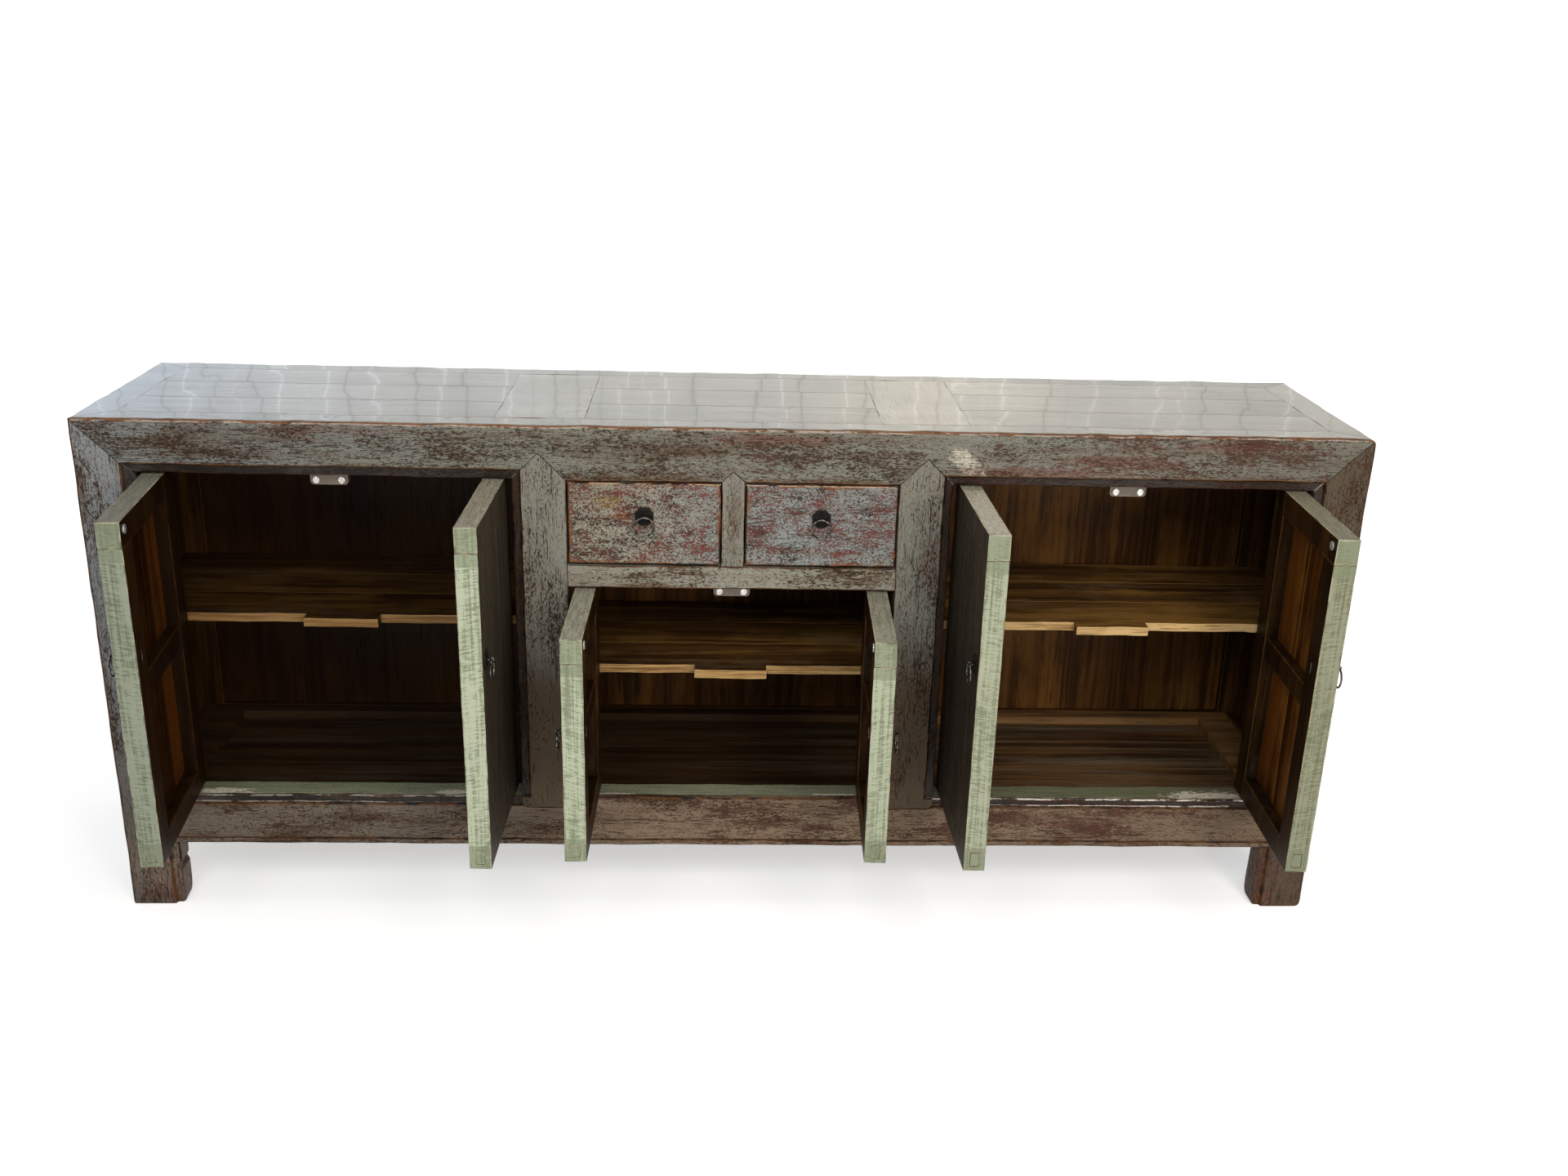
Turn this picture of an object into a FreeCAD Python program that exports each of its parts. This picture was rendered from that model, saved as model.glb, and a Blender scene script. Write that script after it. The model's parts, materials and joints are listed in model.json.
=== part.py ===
"""Lacquered three-bay sideboard with six pivoted doors and two drawers, in millimetres.

+X runs to the right, +Y to the back and +Z up. The origin is on the floor, in the middle of the box
that the sideboard fills with its doors standing open. Depths (u) are measured back from the front face.
"""
import FreeCAD
import Part
import math
import os

Vector = FreeCAD.Vector

# Overall size.
WIDTH = 2050.0
DEPTH = 412.0
HEIGHT = 860.0

# Front frame: a flat face, then a bead that is set back around the two outer bays.
FRAME_FACE = 73.0
BEAD_WIDTH = 15.0
BEAD_SETBACK = 6.0
FRAME_DEPTH = 46.0
FRAME_ARRIS = 3.0
OUTER_ROUND = 6.0
FOOT_ROUND = 20.0

# Stiles between the bays.
STILE_CENTRE = 308.0
STILE_WIDTH = 86.0
STILE_SEAT = 19.0
STILE_FOOT_ROUND = 10.0

# Rear frame and ends.
REAR_LEG_WIDTH = 64.0
REAR_RAIL_HEIGHT = 64.0
END_RAIL_WIDTH = 60.0

# Top.
CROSS_RAIL_WIDTH = 142.0
CROSS_RAIL_THICK = 34.0
TOP_BOARD_THICK = 14.0
TOP_BOARDS = 3
TONGUE_THICK = 6.0
TONGUE_DEPTH = 8.0
BOARD_GAP = 0.4

# Bottom frame and floor.
UNDERSIDE = 120.0
BOTTOM_RAIL_HEIGHT = 91.0
BOTTOM_RAIL_DEPTH = 50.0
SIDE_RAIL_INSET = 6.0
SIDE_RAIL_WIDTH = 44.0
QUIRK_HEIGHT = 9.0
QUIRK_SIZE = 2.5
FLOOR_DROP = 15.0
FLOOR_THICK = 14.0
FLOOR_BOARDS = 3
BEARER_WIDTH = 36.0
BEARER_HEIGHT = 26.0
BEARER_SEAT = 10.0
CLEAT_REAR_WIDTH = 30.0
CLEAT_SIDE_WIDTH = 60.0

# Walls.
WALL_THICK = 12.0
WALL_BOARD_COUNT = 2
SIDE_PANEL_INSET = 14.0
BACK_BOARD_THICK = 10.0
BACK_BOARD_INSET = 14.0
BACK_BOARDS = 4

# Shelves, with a door stop in the middle of the front edge.
SHELF_TOP_SIDE = 516.0
SHELF_TOP_CENTRE = 430.0
SHELF_THICK = 15.0
SHELF_SETBACK = 65.0
SHELF_BOARDS = 3
STOP_WIDTH = 122.0
STOP_SETBACK = 44.0
SHELF_BEARER = 20.0
SHELF_BACK_GAP = 2.0
SHELF_BEARER_SETBACK = 5.0
SHELF_BEARER_BACK_GAP = 10.0

# Drawer compartment.
DRAWER_OPENING = 142.0
DRAWER_RAIL_HEIGHT = 38.0
DIVIDER_WIDTH = 36.0
RUNNER_WIDTH = 26.0
RUNNER_HEIGHT = 20.0
GUIDE_HEIGHT = 18.0
RUNNER_LIFT = 3.2
GUIDE_CLEARANCE = 0.8

# Joinery.
TENON_THICK = 14.0
TENON_LENGTH = 25.0
CROSS_TENON_LENGTH = 12.0
CORNER_TENON = 14.0
CORNER_TENON_COVER = 14.0
CORNER_TENON_ROOT = 62.0
RAIL_CORNER_TENON_INSET = 32.2
RAIL_CORNER_TENON_DEPTH = 7.0
END_CORNER_TENON_INSET = 8.4
END_CORNER_TENON_DEPTH = 26.6
SIDE_TENON_SHOULDER = 20.0
RAIL_TENON_SETBACK = 12.0
RAIL_TENON_FOOT = 15.0
RAIL_TENON_HEAD = 35.0
CROSS_TENON_SHOULDER = 20.0
CROSS_TENON_THICK = 10.0
REAR_TENON_SETBACK = 8.0
DRAWER_RAIL_SHOULDER = 8.0
DOOR_TENON_SHOULDER = 8.0
DOOR_RISER_INSET = 10.0

# Doors.
DOOR_THICK = 34.0
DOOR_SIDE_GAP = 2.0
DOOR_MEET_GAP = 2.4
DOOR_TOP_GAP = 2.5
DOOR_FOOT_GAP = 3.0
DOOR_STILE = 46.0
DOOR_RAIL = 40.0
DOOR_MID_RAIL = 37.0
DOOR_MID_RAIL_SETBACK = 4.0
MID_RAIL_SIDE = 497.0
MID_RAIL_CENTRE = 412.0
DOOR_PANEL_THICK = 12.0
DOOR_PANEL_LIP = 5.0
DOOR_PANEL_TONGUE = 7.0
DOOR_PANEL_SPLIT = 0.45
DOOR_HINGE_ROUND = 10.0
CENTRE_DOOR_SETBACK = 1.0

# Wooden pivots turned on the hinge stiles.
PIVOT_INSET = 26.0
PIVOT_RADIUS = 7.0
PIVOT_LENGTH = 14.0
PIVOT_RADIAL_CLEARANCE = 0.05
PIVOT_END_CLEARANCE = 0.3
PIVOT_LIFT = 16.0

# Drawers.
DRAWER_SIDE_GAP = 1.5
DRAWER_FOOT_GAP = 2.5
DRAWER_TOP_GAP = 2.5
DRAWER_SETBACK = 0.5
DRAWER_FRONT_THICK = 22.0
DRAWER_FRONT_ARRIS = 3.0
DRAWER_SIDE_THICK = 11.0
DRAWER_SIDE_INSET = 1.5
DRAWER_SIDE_DROP = 14.0
DRAWER_BOTTOM_THICK = 7.0
DRAWER_BOTTOM_RISE = 7.0
DRAWER_GROOVE = 5.0
DRAWER_BACK_CLEARANCE = 0.5
DRAWER_REAR_SPACE = 14.0
DRAWER_RUN_CLEARANCE = 0.3
DOVETAILS = 3
DOVETAIL_LAP = 6.0
DOVETAIL_RAKE = 0.15

# Ring pulls.
PLATE_ACROSS = 30.0
PLATE_THICK = 2.0
PLATE_BEVEL = 1.0
EYE_STANDOFF = 9.0
EYE_WALL = 2.0
EYE_WIDTH = 2.6
EYE_CLEARANCE = 0.3
CLENCH_LENGTH = 9.0
CLENCH_THICK = 1.3
RING_RADIUS = 15.4
RING_WIRE_RADIUS = 1.6
PULL_INSET = 25.0
PULL_SIDE_HEIGHT = 556.0
PULL_CENTRE_HEIGHT = 429.0
PULL_DRAWER_RISE = 13.0

# Magnetic catches and the discs that meet them.
CATCH_LENGTH = 60.0
CATCH_DEPTH = 13.0
CATCH_DROP = 26.0
CATCH_FLANGE_RISE = 20.0
CATCH_FLANGE_THICK = 2.5
MAGNET_SPREAD = 40.0
MAGNET_RADIUS = 5.5
MAGNET_PROUD = 1.0
MAGNET_RISE = 8.0
STRIKE_RADIUS = 7.0
STRIKE_THICK = 1.5
CATCH_CLEARANCE = 0.4

# Angles at which the doors stand in the photograph, measured from closed.
DOOR_OPEN = {
    "left_outer": 84.8,
    "left_inner": 88.8,
    "centre_left": 90.8,
    "centre_right": 88.3,
    "right_inner": 88.9,
    "right_outer": 87.7,
}

# Values that follow from the sizes above.
HALF = WIDTH / 2.0
FRAME_WIDTH = FRAME_FACE + BEAD_WIDTH
OPENING_TOP = HEIGHT - FRAME_WIDTH
LEDGE = UNDERSIDE + BOTTOM_RAIL_HEIGHT
FLOOR_TOP = LEDGE - FLOOR_DROP
FLOOR_UNDER = FLOOR_TOP - FLOOR_THICK
REAR_FACE = DEPTH - FRAME_DEPTH
REAR_OPENING_TOP = HEIGHT - REAR_RAIL_HEIGHT
STILE_OUT = STILE_CENTRE + STILE_WIDTH / 2.0
STILE_IN = STILE_CENTRE - STILE_WIDTH / 2.0
WALL_OUT = STILE_CENTRE + WALL_THICK / 2.0
WALL_IN = STILE_CENTRE - WALL_THICK / 2.0
SIDE_RAIL_INNER = HALF - SIDE_RAIL_INSET - SIDE_RAIL_WIDTH
SIDE_PANEL_INNER = HALF - SIDE_PANEL_INSET - WALL_THICK
CROSS_IN = STILE_CENTRE - CROSS_RAIL_WIDTH / 2.0
CROSS_OUT = STILE_CENTRE + CROSS_RAIL_WIDTH / 2.0
CROSS_UNDER = HEIGHT - CROSS_RAIL_THICK
DRAWER_RAIL_TOP = OPENING_TOP - DRAWER_OPENING
DRAWER_RAIL_UNDER = DRAWER_RAIL_TOP - DRAWER_RAIL_HEIGHT
RUNNER_TOP = DRAWER_RAIL_TOP + RUNNER_LIFT
HALF_DIVIDER = DIVIDER_WIDTH / 2.0
DRAWER_HEAD = OPENING_TOP - DRAWER_TOP_GAP
DRAWER_SIDE_FOOT = RUNNER_TOP + DRAWER_RUN_CLEARANCE
DRAWER_SIDE_HEIGHT = DRAWER_HEAD - DRAWER_SIDE_DROP - DRAWER_SIDE_FOOT
PIVOT_DEPTH = DOOR_THICK / 2.0
EYE_HOLE = RING_WIRE_RADIUS + EYE_CLEARANCE
STRIKE_INSET = (MAGNET_SPREAD - DOOR_MEET_GAP) / 2.0
MITRE_REACH = 1.2 * max(FRAME_WIDTH, END_RAIL_WIDTH, REAR_LEG_WIDTH, REAR_RAIL_HEIGHT)


class Bay:
    """One door opening: its edges, the doors' set-back and the heights of what is fixed to them."""

    def __init__(self, left, right, top, setback, pull, mid_rail):
        self.left = left
        self.right = right
        self.top = top
        self.setback = setback
        self.pull = pull
        self.mid_rail = mid_rail
        self.door_width = (right - left - 2.0 * DOOR_SIDE_GAP - DOOR_MEET_GAP) / 2.0
        self.door_foot = LEDGE + DOOR_FOOT_GAP
        self.door_top = top - DOOR_TOP_GAP
        self.pivot_u = setback + PIVOT_DEPTH
        self.strike_z = top - CATCH_DROP + MAGNET_RISE

    def pivot_x(self, hinge_on_left):
        """Plan position of the pivot of one of the bay's two doors."""
        inset = DOOR_SIDE_GAP + PIVOT_INSET
        if hinge_on_left:
            return self.left + inset
        return self.right - inset


SIDE_EDGE = HALF - FRAME_WIDTH
BAYS = {
    "left": Bay(-SIDE_EDGE, -STILE_OUT, OPENING_TOP, BEAD_SETBACK, PULL_SIDE_HEIGHT, MID_RAIL_SIDE),
    "centre": Bay(-STILE_IN, STILE_IN, DRAWER_RAIL_UNDER, CENTRE_DOOR_SETBACK, PULL_CENTRE_HEIGHT,
                  MID_RAIL_CENTRE),
    "right": Bay(STILE_OUT, SIDE_EDGE, OPENING_TOP, BEAD_SETBACK, PULL_SIDE_HEIGHT, MID_RAIL_SIDE),
}
# Each door: its bay and whether its pivots are on the left.
DOORS = {
    "left_outer": ("left", True),
    "left_inner": ("left", False),
    "centre_left": ("centre", True),
    "centre_right": ("centre", False),
    "right_inner": ("right", True),
    "right_outer": ("right", False),
}


def door_reach(name):
    """How far an open door stands out in front of the front face."""
    bay = BAYS[DOORS[name][0]]
    angle = math.radians(DOOR_OPEN[name])
    along = bay.door_width - PIVOT_INSET
    return along * math.sin(angle) + PIVOT_DEPTH * abs(math.cos(angle)) - bay.pivot_u


REACH = max(door_reach(name) for name in DOORS)
FRONT_Y = (REACH - DEPTH) / 2.0


def box(x0, x1, u0, u1, z0, z1):
    """Box between two plan edges, two depths and two heights."""
    return Part.makeBox(x1 - x0, u1 - u0, z1 - z0, Vector(x0, FRONT_Y + u0, z0))


def prism_xz(points, u0, u1):
    """Outline in the front view, run from one depth to another."""
    corners = [Vector(x, FRONT_Y + u0, z) for x, z in points]
    face = Part.Face(Part.makePolygon(corners + corners[:1]))
    return face.extrude(Vector(0, u1 - u0, 0))


def rod(x, u, z, radius, length, direction):
    """Round bar from a point along a direction."""
    return Part.makeCylinder(radius, length, Vector(x, FRONT_Y + u, z), direction)


def mirrored(shape):
    """The same shape on the other side of the middle."""
    return shape.mirror(Vector(0, 0, 0), Vector(1, 0, 0))


def group(shapes):
    """Separate solids kept together in one node."""
    return Part.makeCompound(shapes)


def rounded(shape, radius, x=None, u=None, z=None):
    """Round the edges that lie on the given plan line, depth or height."""
    def on_line(edge):
        for vertex in edge.Vertexes:
            point = vertex.Point
            if x is not None and abs(point.x - x) > 0.01:
                return False
            if u is not None and abs(point.y - FRONT_Y - u) > 0.01:
                return False
            if z is not None and abs(point.z - z) > 0.01:
                return False
        return True

    return shape.makeFillet(radius, [edge for edge in shape.Edges if on_line(edge)])


def cut_all(shape, cutters):
    """Cut several shapes away from one."""
    for cutter in cutters:
        shape = shape.cut(cutter)
    return shape


def only_solid(shape):
    """The single solid of a finished shape."""
    return shape.removeSplitter().Solids[0]


def faces_to_solid(faces):
    """Solid bounded by flat faces given by their corners."""
    made = [Part.Face(Part.makePolygon(corners + corners[:1])) for corners in faces]
    return Part.Solid(Part.makeShell(made))


def mitre_zone(rear, owner):
    """Part of the top left corner that belongs to the leg, the rail or the end rail in a three-way mitre."""
    reach = MITRE_REACH
    skew = FRAME_DEPTH / END_RAIL_WIDTH

    def at(x, u, z):
        depth = DEPTH - u * skew if rear else u * skew
        return Vector(-HALF + x, FRONT_Y + depth, HEIGHT - z)

    bases = {
        "leg": [at(0, 0, reach), at(reach, 0, reach), at(reach, reach, reach), at(0, reach, reach)],
        "rail": [at(reach, 0, 0), at(reach, reach, 0), at(reach, reach, reach), at(reach, 0, reach)],
        "end": [at(0, reach, 0), at(reach, reach, 0), at(reach, reach, reach), at(0, reach, reach)],
    }
    base = bases[owner]
    tip = at(0, 0, 0)
    sides = [[tip, base[i], base[(i + 1) % 4]] for i in range(4)]
    return faces_to_solid(sides + [base])


def corner_tenons(rear):
    """The two tenons that a left leg sends up into the rail and the end rail."""
    top = HEIGHT - CORNER_TENON_COVER
    root = HEIGHT - CORNER_TENON_ROOT
    size = CORNER_TENON

    def tenon(x, u):
        depth = DEPTH - u - size if rear else u
        return box(-HALF + x, -HALF + x + size, depth, depth + size, root, top)

    return {
        "rail": tenon(RAIL_CORNER_TENON_INSET, RAIL_CORNER_TENON_DEPTH),
        "end": tenon(END_CORNER_TENON_INSET, END_CORNER_TENON_DEPTH),
    }


def side_rail_tenon(rear):
    """Tenon of the left side rail in a leg."""
    inset = -HALF + SIDE_RAIL_INSET + (SIDE_RAIL_WIDTH - TENON_THICK) / 2.0
    start = REAR_FACE if rear else FRAME_DEPTH - TENON_LENGTH
    return box(inset, inset + TENON_THICK, start, start + TENON_LENGTH, UNDERSIDE + SIDE_TENON_SHOULDER,
               LEDGE - SIDE_TENON_SHOULDER)


def bottom_rail_tenon(rear):
    """Tenon of a bottom rail in a left leg."""
    edge = -HALF + (REAR_LEG_WIDTH if rear else FRAME_WIDTH)
    start = DEPTH - RAIL_TENON_SETBACK - TENON_THICK if rear else RAIL_TENON_SETBACK
    return box(edge - TENON_LENGTH, edge, start, start + TENON_THICK, UNDERSIDE + RAIL_TENON_FOOT,
               LEDGE - RAIL_TENON_HEAD)


def side_panel_blank():
    """Left end panel with the tongue that sits in the frame all round."""
    outer = -HALF + SIDE_PANEL_INSET
    return box(outer, outer + WALL_THICK, FRAME_DEPTH - TONGUE_DEPTH, REAR_FACE + TONGUE_DEPTH,
               LEDGE - TONGUE_DEPTH, REAR_OPENING_TOP + TONGUE_DEPTH)


def back_bays():
    """Left and right edges of the three openings in the rear frame."""
    stile = REAR_LEG_WIDTH / 2.0
    outer = HALF - REAR_LEG_WIDTH
    return [(-outer, -STILE_CENTRE - stile), (-STILE_CENTRE + stile, STILE_CENTRE - stile),
            (STILE_CENTRE + stile, outer)]


def back_blank(left, right):
    """Back panel of one bay with the tongue that sits in the frame all round."""
    front = REAR_FACE + BACK_BOARD_INSET
    return box(left - TONGUE_DEPTH, right + TONGUE_DEPTH, front, front + BACK_BOARD_THICK,
               LEDGE - TONGUE_DEPTH, REAR_OPENING_TOP + TONGUE_DEPTH)


def front_leg():
    """Left front leg: stepped section, mitred head with two tenons."""
    left = -HALF
    leg = box(left, left + FRAME_WIDTH, 0, FRAME_DEPTH, 0, HEIGHT)
    leg = leg.cut(box(left + FRAME_FACE, left + FRAME_WIDTH, 0, BEAD_SETBACK, 0, HEIGHT))
    leg = rounded(leg, OUTER_ROUND, x=left, u=0)
    leg = rounded(leg, FRAME_ARRIS, x=left + FRAME_FACE, u=0)
    leg = rounded(leg, FOOT_ROUND, u=FRAME_DEPTH, z=0)
    tenons = corner_tenons(False)
    leg = cut_all(leg, [mitre_zone(False, "rail"), mitre_zone(False, "end")])
    leg = leg.fuse(tenons["rail"]).fuse(tenons["end"])
    return only_solid(cut_all(leg, [side_panel_blank(), side_rail_tenon(False), bottom_rail_tenon(False)]))


def rear_leg():
    """Left rear leg."""
    left = -HALF
    leg = box(left, left + REAR_LEG_WIDTH, REAR_FACE, DEPTH, 0, HEIGHT)
    leg = rounded(leg, OUTER_ROUND, x=left, u=DEPTH)
    leg = rounded(leg, FOOT_ROUND, u=REAR_FACE, z=0)
    tenons = corner_tenons(True)
    leg = cut_all(leg, [mitre_zone(True, "rail"), mitre_zone(True, "end")])
    leg = leg.fuse(tenons["rail"]).fuse(tenons["end"])
    hollows = [side_panel_blank(), side_rail_tenon(True), bottom_rail_tenon(True),
               back_blank(*back_bays()[0])]
    return only_solid(cut_all(leg, hollows))


def gable(left, right, foot, depth):
    """Upright with a 45 degree gable at its head."""
    half = (right - left) / 2.0
    outline = [(left, foot), (right, foot), (right, OPENING_TOP), (left + half, OPENING_TOP + half),
               (left, OPENING_TOP)]
    return prism_xz(outline, 0, depth)


def upright_tenon(centre, width, z0, z1):
    """Tenon at the end of an upright of the front frame."""
    start = (FRAME_DEPTH - TENON_THICK) / 2.0
    return box(centre - width / 2.0, centre + width / 2.0, start, start + TENON_THICK, z0, z1)


def front_stile():
    """Left stile between the bays: bead on the outer side, gabled head, rounded foot let into the rail."""
    foot = LEDGE - STILE_SEAT
    stile = gable(-STILE_OUT, -STILE_IN, foot, FRAME_DEPTH)
    stile = rounded(stile, STILE_FOOT_ROUND, x=-STILE_OUT, z=foot)
    stile = rounded(stile, STILE_FOOT_ROUND, x=-STILE_IN, z=foot)
    stile = stile.cut(box(-STILE_OUT, -STILE_OUT + BEAD_WIDTH, 0, BEAD_SETBACK, LEDGE, HEIGHT))
    head = upright_tenon(-STILE_CENTRE, TENON_LENGTH, OPENING_TOP, HEIGHT - CORNER_TENON_COVER)
    root = upright_tenon(-STILE_CENTRE, TENON_LENGTH, foot - TENON_LENGTH, foot)
    return only_solid(stile.fuse(head).fuse(root))


def drawer_divider():
    """Upright between the drawers, gabled like the stiles."""
    upright = gable(-HALF_DIVIDER, HALF_DIVIDER, DRAWER_RAIL_TOP, FRAME_DEPTH)
    head = upright_tenon(0, TENON_THICK, OPENING_TOP, OPENING_TOP + HALF_DIVIDER + TENON_THICK)
    root = upright_tenon(0, TENON_THICK, DRAWER_RAIL_TOP - TENON_THICK, DRAWER_RAIL_TOP)
    return only_solid(upright.fuse(head).fuse(root))


def top_blank(left, right):
    """Flush panel of one top bay with a tongue all round."""
    main = box(left, right, FRAME_DEPTH, REAR_FACE, HEIGHT - TOP_BOARD_THICK, HEIGHT)
    tongue = box(left - TONGUE_DEPTH, right + TONGUE_DEPTH, FRAME_DEPTH - TONGUE_DEPTH,
                 REAR_FACE + TONGUE_DEPTH, HEIGHT - TOP_BOARD_THICK, HEIGHT - TOP_BOARD_THICK + TONGUE_THICK)
    return main.fuse(tongue).removeSplitter()


def top_bays():
    """Left and right edges of the three panels of the top."""
    outer = HALF - END_RAIL_WIDTH
    return [(-outer, -CROSS_OUT), (-CROSS_IN, CROSS_IN), (CROSS_OUT, outer)]


def sliced(blank, count, along):
    """Boards cut side by side from one panel, with an open seam between neighbours."""
    bounds = blank.BoundBox
    low = {"x": bounds.XMin, "y": bounds.YMin}[along]
    high = {"x": bounds.XMax, "y": bounds.YMax}[along]
    step = (high - low) / count
    boards = []
    for index in range(count):
        start = low + index * step + (BOARD_GAP / 2.0 if index else 0.0)
        end = low + (index + 1) * step - (BOARD_GAP / 2.0 if index < count - 1 else 0.0)
        if along == "x":
            slab = Part.makeBox(end - start, bounds.YLength, bounds.ZLength,
                                Vector(start, bounds.YMin, bounds.ZMin))
        else:
            slab = Part.makeBox(bounds.XLength, end - start, bounds.ZLength,
                                Vector(bounds.XMin, start, bounds.ZMin))
        boards.append(only_solid(blank.common(slab)))
    return boards


def pivot_socket(bay, hinge_on_left, upper):
    """Round socket for one wooden pivot."""
    radius = PIVOT_RADIUS + PIVOT_RADIAL_CLEARANCE
    x = bay.pivot_x(hinge_on_left)
    if upper:
        return rod(x, bay.pivot_u, bay.top, radius, PIVOT_LENGTH - DOOR_TOP_GAP + PIVOT_LIFT, Vector(0, 0, 1))
    depth = PIVOT_LENGTH - DOOR_FOOT_GAP + PIVOT_END_CLEARANCE
    return rod(x, bay.pivot_u, LEDGE, radius, depth, Vector(0, 0, -1))


def sockets(names, upper):
    """Sockets of the named bays."""
    return [pivot_socket(BAYS[name], side, upper) for name in names for side in (True, False)]


def cross_rail_tenon(rear):
    """Tenon of the left cross rail of the top."""
    start = REAR_FACE if rear else FRAME_DEPTH - CROSS_TENON_LENGTH
    middle = (HEIGHT - TOP_BOARD_THICK + CROSS_UNDER) / 2.0
    half = CROSS_TENON_THICK / 2.0
    return box(-CROSS_OUT + CROSS_TENON_SHOULDER, -CROSS_IN - CROSS_TENON_SHOULDER, start,
               start + CROSS_TENON_LENGTH, middle - half, middle + half)


def top_rail_front(stile, divider):
    """Front top rail: mitred ends, bead over the outer bays, notches for the gabled uprights."""
    rail = box(-HALF, HALF, 0, FRAME_DEPTH, OPENING_TOP, HEIGHT)
    step = OPENING_TOP + BEAD_WIDTH
    for left, right in ((-HALF, -STILE_CENTRE), (STILE_CENTRE, HALF)):
        rail = rail.cut(box(left, right, 0, BEAD_SETBACK, OPENING_TOP, step))
    rail = rounded(rail, OUTER_ROUND, u=0, z=HEIGHT)
    rail = rounded(rail, FRAME_ARRIS, u=0, z=step)
    taken = [mitre_zone(False, "leg"), mitre_zone(False, "end"), corner_tenons(False)["rail"], stile,
             cross_rail_tenon(False)]
    rail = cut_all(rail, taken + [mirrored(shape) for shape in taken] + [divider])
    rail = cut_all(rail, [top_blank(*bay) for bay in top_bays()])
    return only_solid(cut_all(rail, sockets(("left", "right"), True)))


def rear_stile_tenons():
    """Upper and lower tenon of the left rear stile."""
    start = DEPTH - REAR_TENON_SETBACK - TENON_THICK
    left = -STILE_CENTRE - TENON_LENGTH / 2.0
    right = -STILE_CENTRE + TENON_LENGTH / 2.0
    upper = box(left, right, start, start + TENON_THICK, REAR_OPENING_TOP, REAR_OPENING_TOP + TENON_LENGTH)
    lower = box(left, right, start, start + TENON_THICK, LEDGE - TENON_LENGTH, LEDGE)
    return [upper, lower]


def rear_stile():
    """Left rear stile."""
    half = REAR_LEG_WIDTH / 2.0
    stile = box(-STILE_CENTRE - half, -STILE_CENTRE + half, REAR_FACE, DEPTH, LEDGE, REAR_OPENING_TOP)
    for tenon in rear_stile_tenons():
        stile = stile.fuse(tenon)
    return only_solid(cut_all(stile, [back_blank(*bay) for bay in back_bays()]))


def top_rail_rear():
    """Rear top rail."""
    rail = box(-HALF, HALF, REAR_FACE, DEPTH, REAR_OPENING_TOP, HEIGHT)
    rail = rounded(rail, OUTER_ROUND, u=DEPTH, z=HEIGHT)
    taken = [mitre_zone(True, "leg"), mitre_zone(True, "end"), corner_tenons(True)["rail"],
             cross_rail_tenon(True)] + rear_stile_tenons()
    rail = cut_all(rail, taken + [mirrored(shape) for shape in taken])
    rail = cut_all(rail, [top_blank(*bay) for bay in top_bays()])
    return only_solid(cut_all(rail, [back_blank(*bay) for bay in back_bays()]))


def top_end_rail():
    """Left end rail of the top."""
    rail = box(-HALF, -HALF + END_RAIL_WIDTH, 0, DEPTH, REAR_OPENING_TOP, HEIGHT)
    rail = rounded(rail, OUTER_ROUND, x=-HALF, z=HEIGHT)
    taken = [side_panel_blank(), top_blank(*top_bays()[0])]
    for rear in (False, True):
        taken += [mitre_zone(rear, "leg"), mitre_zone(rear, "rail"), corner_tenons(rear)["end"]]
    return only_solid(cut_all(rail, taken))


def top_cross_rail():
    """Left cross rail of the top, over the partition."""
    rail = box(-CROSS_OUT, -CROSS_IN, FRAME_DEPTH, REAR_FACE, CROSS_UNDER, HEIGHT)
    rail = rail.fuse(cross_rail_tenon(False)).fuse(cross_rail_tenon(True))
    return only_solid(cut_all(rail, [top_blank(*bay) for bay in top_bays()]))


def floor_bays():
    """Left and right edges of the floor in the three bays."""
    return [(-SIDE_RAIL_INNER, -WALL_OUT), (-WALL_IN, WALL_IN), (WALL_OUT, SIDE_RAIL_INNER)]


def bearer_positions():
    """Plan positions of the bearers under the floor."""
    end = SIDE_EDGE - BEARER_WIDTH
    middle = (WALL_OUT + SIDE_RAIL_INNER) / 2.0
    return [-end, -middle, -STILE_CENTRE, 0.0, STILE_CENTRE, middle, end]


def floor_bearer(x):
    """Bearer from the front rail to the rear rail, housed at both ends."""
    half = BEARER_WIDTH / 2.0
    return box(x - half, x + half, BOTTOM_RAIL_DEPTH - BEARER_SEAT, REAR_FACE + BEARER_SEAT,
               FLOOR_UNDER - BEARER_HEIGHT, FLOOR_UNDER)


def bottom_rail_front(stile):
    """Front bottom rail: bead under the outer bays, quirk along its lower edge, notches for the stiles."""
    face_edge = HALF - FRAME_FACE
    rail = box(-SIDE_EDGE, SIDE_EDGE, 0, BOTTOM_RAIL_DEPTH, UNDERSIDE, LEDGE)
    rail = rail.fuse(box(-face_edge, face_edge, 0, BEAD_SETBACK, UNDERSIDE, LEDGE)).removeSplitter()
    step = LEDGE - BEAD_WIDTH
    for left, right in ((-face_edge, -STILE_CENTRE), (STILE_CENTRE, face_edge)):
        rail = rail.cut(box(left, right, 0, BEAD_SETBACK, step, LEDGE))
    rail = rounded(rail, FRAME_ARRIS, u=0, z=step)
    rail = rounded(rail, FRAME_ARRIS, u=0, z=LEDGE)
    quirk = UNDERSIDE + QUIRK_HEIGHT
    rail = rail.cut(box(-face_edge, face_edge, 0, QUIRK_SIZE, quirk, quirk + QUIRK_SIZE))
    tenon = bottom_rail_tenon(False)
    rail = rail.fuse(tenon).fuse(mirrored(tenon))
    rail = cut_all(rail, [stile, mirrored(stile)] + sockets(BAYS, False))
    return only_solid(cut_all(rail, [floor_bearer(x) for x in bearer_positions()]))


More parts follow.
